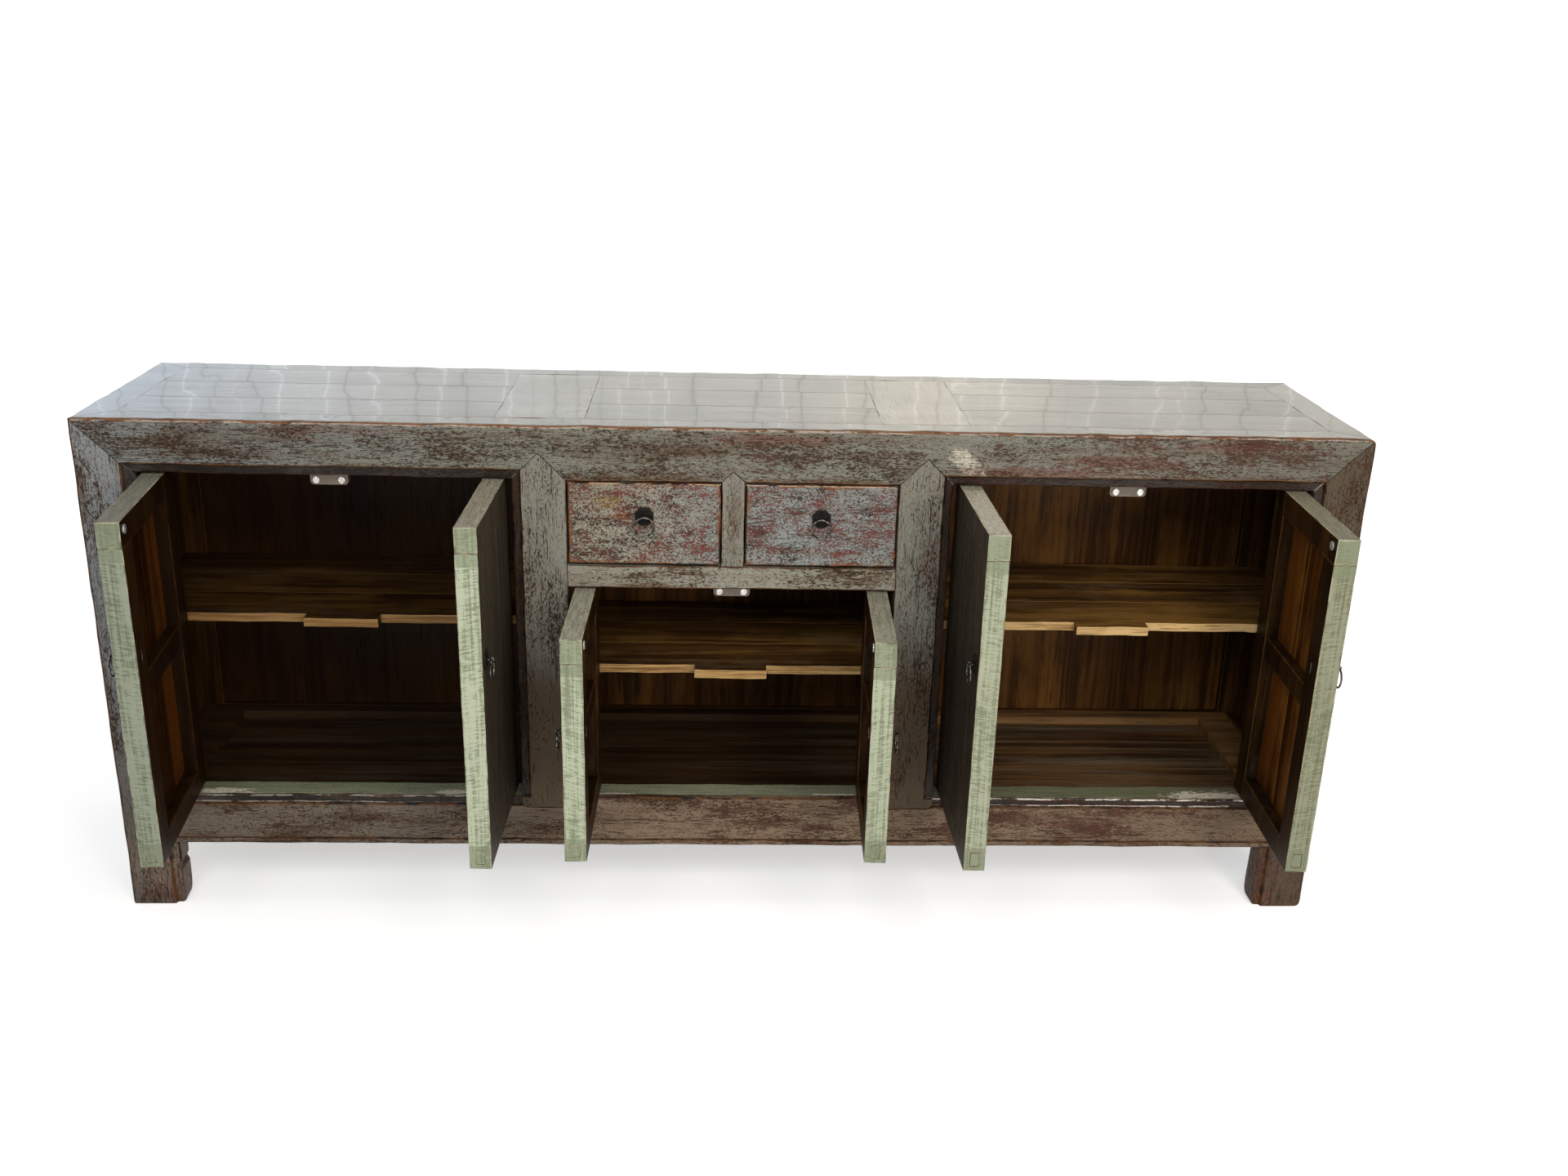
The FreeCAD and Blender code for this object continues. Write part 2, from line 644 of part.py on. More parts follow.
def bottom_rail_rear():
    """Rear bottom rail."""
    edge = HALF - REAR_LEG_WIDTH
    rail = box(-edge, edge, REAR_FACE, DEPTH, UNDERSIDE, LEDGE)
    tenon = bottom_rail_tenon(True)
    rail = rail.fuse(tenon).fuse(mirrored(tenon))
    lower = rear_stile_tenons()[1]
    rail = cut_all(rail, [lower, mirrored(lower)] + [back_blank(*bay) for bay in back_bays()])
    return only_solid(cut_all(rail, [floor_bearer(x) for x in bearer_positions()]))


def bottom_side_rail():
    """Left bottom side rail."""
    outer = -HALF + SIDE_RAIL_INSET
    rail = box(outer, outer + SIDE_RAIL_WIDTH, FRAME_DEPTH, REAR_FACE, UNDERSIDE, LEDGE)
    rail = rail.fuse(side_rail_tenon(False)).fuse(side_rail_tenon(True))
    return only_solid(rail.cut(side_panel_blank()))


def floor_boards():
    """Lengthwise boards of the three floors."""
    boards = []
    for left, right in floor_bays():
        blank = box(left, right, BOTTOM_RAIL_DEPTH, REAR_FACE, FLOOR_UNDER, FLOOR_TOP)
        boards += sliced(blank, FLOOR_BOARDS, "y")
    return boards


def floor_cleats():
    """Strips on the floor: along the back of each bay and along the two ends."""
    start = REAR_FACE - CLEAT_REAR_WIDTH
    strips = [box(left, right, start, REAR_FACE, FLOOR_TOP, LEDGE) for left, right in floor_bays()]
    end = box(-SIDE_RAIL_INNER, -SIDE_RAIL_INNER + CLEAT_SIDE_WIDTH, BOTTOM_RAIL_DEPTH, start,
              FLOOR_TOP, LEDGE)
    return strips + [end, mirrored(end)]


def partition():
    """Left wall between the bays, two boards wide."""
    blank = box(-WALL_OUT, -WALL_IN, FRAME_DEPTH, REAR_FACE, FLOOR_UNDER, CROSS_UNDER)
    front_rail = box(-WALL_OUT, -WALL_IN, 0, BOTTOM_RAIL_DEPTH, 0, LEDGE)
    return sliced(blank.cut(front_rail), WALL_BOARD_COUNT, "y")


def shelf(left, right, centre, top):
    """Boards of one shelf, with the door stop on the front board."""
    blank = box(left, right, SHELF_SETBACK, REAR_FACE - SHELF_BACK_GAP, top - SHELF_THICK, top)
    boards = sliced(blank, SHELF_BOARDS, "y")
    half = STOP_WIDTH / 2.0
    stop = box(centre - half, centre + half, STOP_SETBACK, SHELF_SETBACK, top - SHELF_THICK, top)
    boards[0] = only_solid(boards[0].fuse(stop))
    return boards


def shelf_bearers():
    """Strips that carry the ends of the shelves."""
    def strip(left, top):
        return box(left, left + SHELF_BEARER, SHELF_SETBACK + SHELF_BEARER_SETBACK,
                   REAR_FACE - SHELF_BEARER_BACK_GAP, top - SHELF_THICK - SHELF_BEARER, top - SHELF_THICK)

    left_bay = [strip(-SIDE_PANEL_INNER, SHELF_TOP_SIDE), strip(-WALL_OUT - SHELF_BEARER, SHELF_TOP_SIDE)]
    middle = strip(-WALL_IN, SHELF_TOP_CENTRE)
    strips = left_bay + [middle]
    return strips + [mirrored(shape) for shape in strips]


def drawer_rail_tenon():
    """Left tenon of the drawer rail."""
    start = (FRAME_DEPTH - TENON_THICK) / 2.0
    return box(-STILE_IN - TENON_LENGTH, -STILE_IN, start, start + TENON_THICK,
               DRAWER_RAIL_UNDER + DRAWER_RAIL_SHOULDER, DRAWER_RAIL_TOP - DRAWER_RAIL_SHOULDER)


def drawer_rails(divider):
    """Front rail under the drawers, and the rear rail that carries the runners."""
    front = box(-STILE_IN, STILE_IN, 0, FRAME_DEPTH, DRAWER_RAIL_UNDER, DRAWER_RAIL_TOP)
    front = rounded(front, FRAME_ARRIS, u=0, z=DRAWER_RAIL_UNDER)
    tenon = drawer_rail_tenon()
    front = front.fuse(tenon).fuse(mirrored(tenon))
    front = cut_all(front, [divider] + sockets(("centre",), True))
    rear = box(-WALL_IN, WALL_IN, drawer_end() + DRAWER_BACK_CLEARANCE, REAR_FACE, DRAWER_RAIL_UNDER,
               RUNNER_TOP + GUIDE_HEIGHT)
    return [only_solid(front), only_solid(rear)]


def drawer_end():
    """Depth of the back of a closed drawer."""
    return REAR_FACE - DRAWER_REAR_SPACE


def drawer_runners():
    """Runners with guides: one on each partition and one between the drawers."""
    end = drawer_end() + DRAWER_BACK_CLEARANCE
    under = RUNNER_TOP - RUNNER_HEIGHT
    over = RUNNER_TOP + GUIDE_HEIGHT
    play = DRAWER_SIDE_GAP + DRAWER_SIDE_INSET - GUIDE_CLEARANCE
    guide = STILE_IN - play
    left = box(-WALL_IN, -guide + RUNNER_WIDTH, FRAME_DEPTH, end, under, RUNNER_TOP)
    left = only_solid(left.fuse(box(-WALL_IN, -guide, FRAME_DEPTH, end, RUNNER_TOP, over)))
    guide = HALF_DIVIDER + play
    wide = guide + RUNNER_WIDTH
    middle = box(-wide, wide, FRAME_DEPTH, end, under, RUNNER_TOP)
    middle = middle.fuse(box(-guide, guide, FRAME_DEPTH, end, RUNNER_TOP, over))
    return [left, mirrored(left), only_solid(middle)]


def octagon(across):
    """Corners of a regular octagon, flat side down."""
    radius = across / 2.0 / math.cos(math.pi / 8.0)
    return [(radius * math.cos(math.pi / 8.0 + i * math.pi / 4.0),
             radius * math.sin(math.pi / 8.0 + i * math.pi / 4.0)) for i in range(8)]


def pull_plate(x, face, z):
    """Octagonal plate with a bevelled rim, flat on the face."""
    base = prism_xz([(x + a, z + b) for a, b in octagon(PLATE_ACROSS)], face - PLATE_THICK, face)
    rim = [edge for edge in base.Edges
           if all(abs(v.Point.y - FRONT_Y - face + PLATE_THICK) < 0.01 for v in edge.Vertexes)]
    return base.makeChamfer(PLATE_BEVEL, rim)


def pull_shank(x, face, back, z):
    """Split shank of the eye, from the loop through the wood to its clenched ends."""
    half = EYE_WIDTH / 2.0
    loop = face - EYE_STANDOFF + EYE_HOLE + EYE_WALL / 2.0
    shank = box(x - half, x + half, loop, back + CLENCH_THICK, z - half, z + half)
    clench = box(x - half, x + half, back, back + CLENCH_THICK, z - CLENCH_LENGTH, z + CLENCH_LENGTH)
    return only_solid(shank.fuse(clench))


def pull_eye(x, face, back, z):
    """Eye pin: a round loop on the split shank."""
    along = Vector(1, 0, 0)
    start = x - EYE_WIDTH / 2.0
    loop = rod(start, face - EYE_STANDOFF, z, EYE_HOLE + EYE_WALL, EYE_WIDTH, along)
    hole = rod(start, face - EYE_STANDOFF, z, EYE_HOLE, EYE_WIDTH, along)
    return only_solid(loop.fuse(pull_shank(x, face, back, z)).cut(hole))


def pull_ring(x, face, z):
    """Ring hanging in the eye."""
    centre = Vector(x, FRONT_Y + face - EYE_STANDOFF, z - RING_RADIUS)
    return Part.makeTorus(RING_RADIUS, RING_WIRE_RADIUS, centre, Vector(0, 1, 0))


def door_frame(width, bay):
    """Closed door frame with its hinge edge at x = 0 and its outer face at u = 0, as a dict of solids."""
    foot = bay.door_foot
    top = bay.door_top
    thick = DOOR_THICK
    inner = width - DOOR_STILE
    hinge = box(0, DOOR_STILE, 0, thick, foot, top)
    hinge = rounded(hinge, DOOR_HINGE_ROUND, x=0, u=0)
    pin_u = PIVOT_DEPTH
    hinge = hinge.fuse(rod(PIVOT_INSET, pin_u, top, PIVOT_RADIUS, PIVOT_LENGTH, Vector(0, 0, 1)))
    hinge = hinge.fuse(rod(PIVOT_INSET, pin_u, foot, PIVOT_RADIUS, PIVOT_LENGTH, Vector(0, 0, -1)))
    meeting = box(inner, width, 0, thick, foot, top - DOOR_RAIL)
    first = (thick - TENON_THICK) / 2.0
    last = first + TENON_THICK

    def tenon(x0, x1, z0, z1):
        return box(x0, x1, first, last, z0 + DOOR_TENON_SHOULDER, z1 - DOOR_TENON_SHOULDER)

    top_rail = box(DOOR_STILE, width, 0, thick, top - DOOR_RAIL, top)
    top_tenon = tenon(DOOR_STILE - TENON_LENGTH, DOOR_STILE, top - DOOR_RAIL, top)
    riser = box(inner + DOOR_RISER_INSET, width - DOOR_RISER_INSET, first, last, top - DOOR_RAIL,
                top - DOOR_RAIL / 2.0)
    low_rail = box(DOOR_STILE, inner, 0, thick, foot, foot + DOOR_RAIL)
    low_hinge = tenon(DOOR_STILE - TENON_LENGTH, DOOR_STILE, foot, foot + DOOR_RAIL)
    low_through = tenon(inner, width, foot, foot + DOOR_RAIL)
    mid0 = bay.mid_rail - DOOR_MID_RAIL / 2.0
    mid1 = bay.mid_rail + DOOR_MID_RAIL / 2.0
    mid_rail = box(DOOR_STILE, inner, DOOR_PANEL_THICK, thick - DOOR_MID_RAIL_SETBACK, mid0, mid1)
    mid_hinge = tenon(DOOR_STILE - TENON_THICK, DOOR_STILE, mid0, mid1)
    mid_meet = tenon(inner, inner + TENON_THICK, mid0, mid1)
    tongue = door_panel_tongue(width, bay)
    hinge = cut_all(hinge, [tongue, top_tenon, low_hinge, mid_hinge])
    meeting = cut_all(meeting.fuse(riser), [tongue, low_through, mid_meet])
    return {
        "hinge": only_solid(hinge),
        "meeting": only_solid(meeting),
        "top": only_solid(top_rail.fuse(top_tenon).cut(riser).cut(tongue)),
        "low": only_solid(low_rail.fuse(low_hinge).fuse(low_through).cut(tongue)),
        "mid": only_solid(mid_rail.fuse(mid_hinge).fuse(mid_meet).cut(tongue)),
    }


def door_panel_tongue(width, bay):
    """Tongue of the door panel, which sits in the groove of the frame."""
    reach = DOOR_PANEL_TONGUE
    return box(DOOR_STILE - reach, width - DOOR_STILE + reach, DOOR_PANEL_LIP, DOOR_PANEL_THICK,
               bay.door_foot + DOOR_RAIL - reach, bay.door_top - DOOR_RAIL + reach)


def door_panel(width, bay):
    """Two boards of the door panel, flush with the frame outside."""
    main = box(DOOR_STILE, width - DOOR_STILE, 0, DOOR_PANEL_THICK, bay.door_foot + DOOR_RAIL,
               bay.door_top - DOOR_RAIL)
    blank = main.fuse(door_panel_tongue(width, bay)).removeSplitter()
    seam = DOOR_PANEL_SPLIT * width
    gap = box(seam - BOARD_GAP / 2.0, seam + BOARD_GAP / 2.0, -1, DOOR_THICK, 0, HEIGHT)
    return blank.cut(gap).Solids


def door(name):
    """The nodes of one door, standing open as in the photograph."""
    bay_name, hinge_on_left = DOORS[name]
    bay = BAYS[bay_name]
    width = bay.door_width
    x = width - PULL_INSET
    frame = door_frame(width, bay)
    frame["meeting"] = only_solid(frame["meeting"].cut(pull_shank(x, 0, DOOR_THICK, bay.pull)))
    plate = pull_plate(x, 0, bay.pull).cut(pull_shank(x, 0, DOOR_THICK, bay.pull))
    strike = rod(width - STRIKE_INSET, DOOR_THICK, bay.strike_z, STRIKE_RADIUS, STRIKE_THICK, Vector(0, 1, 0))
    nodes = {
        "frame": group(list(frame.values())),
        "panel": group(door_panel(width, bay)),
        "hardware": group([only_solid(plate), pull_eye(x, 0, DOOR_THICK, bay.pull), strike]),
        "ring": pull_ring(x, 0, bay.pull),
    }
    return {"door_%s_%s" % (name, key): hung(shape, bay, hinge_on_left, DOOR_OPEN[name])
            for key, shape in nodes.items()}


def hung(shape, bay, hinge_on_left, angle):
    """Closed door shape moved to its opening and swung open about its pivots."""
    if not hinge_on_left:
        shape = mirrored(shape)
    placed = shape.copy()
    edge = bay.left + DOOR_SIDE_GAP if hinge_on_left else bay.right - DOOR_SIDE_GAP
    placed.translate(Vector(edge, bay.setback, 0))
    pivot = Vector(bay.pivot_x(hinge_on_left), FRONT_Y + bay.pivot_u, 0)
    placed.rotate(pivot, Vector(0, 0, 1), -angle if hinge_on_left else angle)
    return placed


def dovetail(x0, x1, u0, u1, z, half):
    """One tail: wider at its end (u0) than at its root (u1)."""
    flare = abs(u1 - u0) * DOVETAIL_RAKE
    outline = [(u0, z - half - flare), (u1, z - half), (u1, z + half), (u0, z + half + flare)]
    corners = [Vector(x0, FRONT_Y + u, level) for u, level in outline]
    return Part.Face(Part.makePolygon(corners + corners[:1])).extrude(Vector(x1 - x0, 0, 0))


def drawer_tails(x0, x1, u0, u1, foot):
    """Row of tails on one end of a drawer side."""
    pitch = DRAWER_SIDE_HEIGHT / DOVETAILS
    return [dovetail(x0, x1, u0, u1, foot + (i + 0.5) * pitch, pitch / 4.0) for i in range(DOVETAILS)]


def drawer(name, sign):
    """The nodes of one drawer, closed; built on the right and mirrored for the left."""
    left = HALF_DIVIDER + DRAWER_SIDE_GAP
    right = STILE_IN - DRAWER_SIDE_GAP
    low = DRAWER_RAIL_TOP + DRAWER_FOOT_GAP
    high = DRAWER_HEAD
    face = DRAWER_SETBACK
    back_of_front = face + DRAWER_FRONT_THICK
    end = drawer_end()
    foot = DRAWER_SIDE_FOOT
    front = box(left, right, face, back_of_front, low, high)
    front = rounded(front, DRAWER_FRONT_ARRIS, u=face)
    side_l = (left + DRAWER_SIDE_INSET, left + DRAWER_SIDE_INSET + DRAWER_SIDE_THICK)
    side_r = (right - DRAWER_SIDE_INSET - DRAWER_SIDE_THICK, right - DRAWER_SIDE_INSET)
    lap = face + DOVETAIL_LAP
    bottom_z = foot + DRAWER_BOTTOM_RISE
    bottom = box(side_l[1] - DRAWER_GROOVE, side_r[0] + DRAWER_GROOVE, back_of_front - DRAWER_GROOVE, end,
                 bottom_z, bottom_z + DRAWER_BOTTOM_THICK)
    back = box(side_l[0], side_r[1], end - DRAWER_SIDE_THICK, end, bottom_z + DRAWER_BOTTOM_THICK,
               foot + DRAWER_SIDE_HEIGHT)
    walls = []
    tails = []
    for x0, x1 in (side_l, side_r):
        wall = box(x0, x1, back_of_front, end - DRAWER_SIDE_THICK, foot, foot + DRAWER_SIDE_HEIGHT)
        front_tails = drawer_tails(x0, x1, lap, back_of_front, foot)
        rear_tails = drawer_tails(x0, x1, end, end - DRAWER_SIDE_THICK, foot)
        for tail in front_tails + rear_tails:
            wall = wall.fuse(tail)
        tails += front_tails + rear_tails
        walls.append(only_solid(wall.cut(bottom)))
    x = (left + right) / 2.0
    z = (low + high) / 2.0 + PULL_DRAWER_RISE
    shank = pull_shank(x, face, back_of_front, z)
    plate = only_solid(pull_plate(x, face, z).cut(shank))
    nodes = {
        "front": only_solid(cut_all(front, tails + [bottom, shank])),
        "box": group(walls + [only_solid(cut_all(back, tails)), only_solid(bottom)]),
        "hardware": group([plate, pull_eye(x, face, back_of_front, z)]),
        "ring": pull_ring(x, face, z),
    }
    if sign < 0:
        nodes = {key: mirrored(shape) for key, shape in nodes.items()}
    return {"drawer_%s_%s" % (name, key): shape for key, shape in nodes.items()}


def catch(bay):
    """Magnetic catch of one bay: body under the rail with a flange behind it, and two round magnets."""
    middle = (bay.left + bay.right) / 2.0
    magnet_face = bay.setback + DOOR_THICK + STRIKE_THICK + CATCH_CLEARANCE
    front = magnet_face + MAGNET_PROUD
    half = CATCH_LENGTH / 2.0
    flange = FRAME_DEPTH + CATCH_FLANGE_THICK
    body = box(middle - half, middle + half, front, max(front + CATCH_DEPTH, flange),
               bay.top - CATCH_DROP, bay.top)
    body = body.fuse(box(middle - half, middle + half, FRAME_DEPTH, flange, bay.top,
                         bay.top + CATCH_FLANGE_RISE))
    magnets = [rod(middle + side * MAGNET_SPREAD / 2.0, magnet_face, bay.strike_z, MAGNET_RADIUS,
                   2.0 * MAGNET_PROUD, Vector(0, 1, 0)) for side in (-1, 1)]
    return [only_solid(cut_all(body, magnets))] + magnets


def carcass():
    """The nodes of the fixed body."""
    leg = front_leg()
    stile = only_solid(front_stile().cut(drawer_rail_tenon()))
    divider = drawer_divider()
    rear = rear_leg()
    rear_upright = rear_stile()
    side_rail = bottom_side_rail()
    end_rail = top_end_rail()
    cross_rail = top_cross_rail()
    side_boards = sliced(side_panel_blank(), WALL_BOARD_COUNT, "y")
    walls = partition()
    tops = [board for bay in top_bays() for board in sliced(top_blank(*bay), TOP_BOARDS, "y")]
    backs = [board for bay in back_bays() for board in sliced(back_blank(*bay), BACK_BOARDS, "x")]
    bay_centre = (BAYS["right"].left + BAYS["right"].right) / 2.0
    return {
        "leg_front_left": leg,
        "leg_front_right": mirrored(leg),
        "legs_rear": group([rear, mirrored(rear)]),
        "top_rail_front": top_rail_front(front_stile(), divider),
        "top_rail_rear": top_rail_rear(),
        "top_end_rails": group([end_rail, mirrored(end_rail)]),
        "top_cross_rails": group([cross_rail, mirrored(cross_rail)]),
        "top_boards": group(tops),
        "bottom_rail_front": bottom_rail_front(front_stile()),
        "bottom_rail_rear": bottom_rail_rear(),
        "bottom_side_rails": group([side_rail, mirrored(side_rail)]),
        "stile_front_left": stile,
        "stile_front_right": mirrored(stile),
        "stiles_rear": group([rear_upright, mirrored(rear_upright)]),
        "drawer_rails": group(drawer_rails(divider)),
        "drawer_divider": divider,
        "drawer_runners": group(drawer_runners()),
        "partitions": group(walls + [mirrored(wall) for wall in walls]),
        "floor_boards": group(floor_boards()),
        "floor_bearers": group([floor_bearer(x) for x in bearer_positions()]),
        "floor_cleats": group(floor_cleats()),
        "shelf_left": group(shelf(-SIDE_PANEL_INNER, -WALL_OUT, -bay_centre, SHELF_TOP_SIDE)),
        "shelf_centre": group(shelf(-WALL_IN, WALL_IN, 0.0, SHELF_TOP_CENTRE)),
        "shelf_right": group(shelf(WALL_OUT, SIDE_PANEL_INNER, bay_centre, SHELF_TOP_SIDE)),
        "shelf_bearers": group(shelf_bearers()),
        "back_boards": group(backs),
        "side_panels": group(side_boards + [mirrored(board) for board in side_boards]),
        "magnetic_catches": group([solid for bay in BAYS.values() for solid in catch(bay)]),
    }


def main():
    """Build every node and write it to the parts folder."""
    os.makedirs("parts", exist_ok=True)
    nodes = carcass()
    for name in DOORS:
        nodes.update(door(name))
    nodes.update(drawer("left", -1))
    nodes.update(drawer("right", 1))
    for name, shape in nodes.items():
        shape.exportStep("parts/%s.step" % name)


if __name__ == "__main__":
    main()
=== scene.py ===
"""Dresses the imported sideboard: worn lacquer outside, brown varnish inside, iron ring pulls, studio light.

Lengths are in metres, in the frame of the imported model: +X to the right, +Y to the back, +Z up.
"""

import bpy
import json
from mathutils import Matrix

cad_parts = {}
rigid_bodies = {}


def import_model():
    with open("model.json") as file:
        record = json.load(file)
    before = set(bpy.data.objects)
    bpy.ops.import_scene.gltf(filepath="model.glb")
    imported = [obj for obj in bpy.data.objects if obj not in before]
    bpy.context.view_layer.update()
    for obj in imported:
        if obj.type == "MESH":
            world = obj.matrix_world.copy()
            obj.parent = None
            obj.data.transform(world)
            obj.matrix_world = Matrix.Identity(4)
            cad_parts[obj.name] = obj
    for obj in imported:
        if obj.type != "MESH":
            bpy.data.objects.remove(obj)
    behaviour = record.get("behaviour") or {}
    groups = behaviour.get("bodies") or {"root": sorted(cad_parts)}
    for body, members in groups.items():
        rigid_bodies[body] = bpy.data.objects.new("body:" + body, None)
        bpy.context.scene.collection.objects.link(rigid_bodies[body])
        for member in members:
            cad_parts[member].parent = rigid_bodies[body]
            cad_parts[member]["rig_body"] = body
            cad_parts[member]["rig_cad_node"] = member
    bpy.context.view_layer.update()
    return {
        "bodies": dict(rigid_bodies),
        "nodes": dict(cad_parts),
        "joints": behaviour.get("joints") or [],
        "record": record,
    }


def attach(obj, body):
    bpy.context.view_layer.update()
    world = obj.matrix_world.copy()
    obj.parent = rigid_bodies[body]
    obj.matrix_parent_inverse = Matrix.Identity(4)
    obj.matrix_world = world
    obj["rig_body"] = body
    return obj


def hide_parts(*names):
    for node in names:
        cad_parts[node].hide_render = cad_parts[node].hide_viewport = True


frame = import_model()

import json
import logging
import math
from contextlib import contextmanager
from dataclasses import dataclass
from enum import Enum
from functools import partial, reduce
from typing import Callable, ContextManager, Dict, Iterator, List, Optional, Sequence, Tuple, Union

import bpy
from mathutils import Matrix, Vector

LOG = logging.getLogger("sideboard")
FRONT_Y = -0.08536513904787782
HEIGHT = 0.860
HALF_WIDTH = 1.025
HEAD_ROUND = {-1.0: 0.008, 1.0: 0.014}
LEDGE = 0.211
DOOR_THICK = 0.034
PIVOT_INSET = 0.026
SKIN = 0.004  # how deep below an outer side a face still belongs to it
TOUCH = 0.0005  # how near two places are that count as one
FACING = 0.87  # least part of a normal in the direction in which its face looks
SAME_POINT = 1e-6  # how near two points are that are merged
SAME_PLANE = 0.5  # degrees between two faces that are merged
FLAT_LEAST = 0.985  # least part of a flat face's normal along one axis
SLANT_LEAST = 0.15  # least part of a normal along an axis towards which its face slants
UPPER_MOST = 0.6  # greatest upward part of the normal of an upper arris
BOARD_STEP = 0.618  # share of a whole way that a pattern moves from one board to the next
NAME_STEP = 0.37  # share of it that the pattern moves with each letter of the piece's name
BOARD_SHIFT = (3.1, 1.7, 2.3)  # the whole way

Piece = bpy.types.Object
Socket = bpy.types.NodeSocket
Colour = Tuple[float, float, float]
Triple = Tuple[float, float, float]
Pair = Tuple[float, float]
Steps = Tuple[Pair, ...]
Feed = Union[float, Triple, Socket]
FaceRule = Callable[[Vector, Vector], int]


class Grain(Enum):
    """Direction in which the grain of a board runs."""

    ACROSS = (1, 0, 0)
    BACKWARD = (0, 1, 0)
    UPRIGHT = (0, 0, 1)

    def scaled(self, along: float, across: float) -> Triple:
        """Pattern scale that is low along the grain and high across it."""
        return tuple(along if axis else across for axis in self.value)


class Placing(Enum):
    """Where a finish takes its pattern from."""

    FIXED = "object"
    HUNG = "place"


class Body(Enum):
    """Words that turn a sub-assembly's name into the name of the body that carries it."""

    CARCASS = "carcass"
    DOOR = "door_%s"
    DRAWER = "drawer_%s"
    RING = "%s_ring"


class Choice(Enum):
    """What is chosen on a mesh before it is worked."""

    FACES = "FACE"
    EDGES = "EDGE"


class Slope(Enum):
    """How a face lies, as a number on the mesh by which finishes know arrises from joints."""

    FLAT = 0.0
    JOINT = 0.4
    ARRIS = 0.7
    UPPER = 1.0

    @classmethod
    def of(cls, normal: Vector) -> "Slope":
        """Find how a face lies.

        Args:
            normal: its normal, in the frame in which its board lies square.

        Returns:
            The slope.
        """
        parts = sorted(abs(part) for part in normal)
        if parts[2] > FLAT_LEAST:
            return cls.FLAT
        if parts[0] > SLANT_LEAST:
            return cls.JOINT
        return cls.UPPER if SLANT_LEAST < normal.z < UPPER_MOST else cls.ARRIS


def facing(normal: Vector, x: float = 0.0, y: float = 0.0, z: float = 0.0) -> bool:
    """Whether a face looks in a direction, to within about 30 degrees."""
    return normal.dot(Vector((x, y, z))) > FACING


def pick_only(piece: Piece) -> None:
    """Select one object alone and make it the active one.

    Args:
        piece: the object to work on.
    """
    for other in bpy.context.selected_objects:
        other.select_set(False)
    piece.select_set(True)
    bpy.context.view_layer.objects.active = piece


@contextmanager
def bench(piece: Piece) -> Iterator[None]:
    """Edit mode on one piece, with its whole mesh selected.

    Args:
        piece: the object to work on.
    """
    pick_only(piece)
    bpy.ops.object.mode_set(mode="EDIT")
    bpy.ops.mesh.select_all(action="SELECT")
    yield
    bpy.ops.object.mode_set(mode="OBJECT")


@contextmanager
def bench_on(piece: Piece, choice: Choice, picks: Sequence[bool]) -> Iterator[None]:
    """Edit mode on one piece, with only some of its faces or edges selected.

    Args:
        piece: the object to work on.
        choice: whether faces or edges are selected.
        picks: for each of them in turn, whether it is.
    """
    with bench(piece):
        bpy.ops.mesh.select_mode(type=choice.value)
        bpy.ops.mesh.select_all(action="DESELECT")
    parts = piece.data.polygons if choice is Choice.FACES else piece.data.edges
    parts.foreach_set("select", picks)
    bpy.ops.object.mode_set(mode="EDIT")
    yield
    bpy.ops.object.mode_set(mode="OBJECT")


def bench_on_faces(piece: Piece, rule: Callable[[Vector, Vector], bool]) -> ContextManager[None]:
    """Edit mode with those faces selected whose centre and normal the rule takes."""
    picks = [bool(rule(face.center, face.normal)) for face in piece.data.polygons]
    return bench_on(piece, Choice.FACES, picks)


def bench_on_edges(piece: Piece, rule: Callable[[Vector, Vector], bool]) -> ContextManager[None]:
    """Edit mode with those edges selected whose two ends the rule takes."""
    ends = ([piece.data.vertices[index].co for index in edge.vertices] for edge in piece.data.edges)
    return bench_on(piece, Choice.EDGES, [bool(rule(*pair)) for pair in ends])


def settle(piece: Piece) -> Piece:
    """Move an object's place, turn and scale into its mesh.

    Args:
        piece: the object to settle at the origin.

    Returns:
        The same object.
    """
    pick_only(piece)
    bpy.ops.object.transform_apply(location=True, rotation=True, scale=True)
    return piece


def block(size: Triple, place: Triple) -> Piece:
    """Model a plain block, the start of a piece.

    Args:
        size: its width, depth and height.
        place: its middle.

    Returns:
        The block.
    """
    bpy.ops.mesh.primitive_cube_add(size=1.0, location=place)
    bpy.context.object.scale = size
    return settle(bpy.context.object)


def disc(radius: float, thick: float, place: Triple, sides: int = 32, turn: float = 0.0) -> Piece:
    """Model a plain disc that faces the front, the start of a piece.

    Args:
        radius: its radius, out to the corners.
        thick: its thickness.
        place: its middle.
        sides: how many sides it has.
        turn: how far it is turned about its middle.

    Returns:
        The disc.
    """
    bpy.ops.mesh.primitive_cylinder_add(vertices=sides, radius=radius, depth=thick, location=place,
                                        rotation=(math.pi / 2.0, turn, 0.0))
    return settle(bpy.context.object)


def hoop(radius: float, wire: float, place: Triple, turn: Triple, faces: Tuple[int, int]) -> Piece:
    """Model a round hoop of wire, the start of a piece.

    Args:
        radius: from its middle to the middle of the wire.
        wire: the radius of the wire.
        place: its middle.
        turn: how it is turned.
        faces: how many faces it has along the wire and round it.

    Returns:
        The hoop.
    """
    bpy.ops.mesh.primitive_torus_add(major_radius=radius, minor_radius=wire, major_segments=faces[0],
                                     minor_segments=faces[1], location=place, rotation=turn)
    return settle(bpy.context.object)


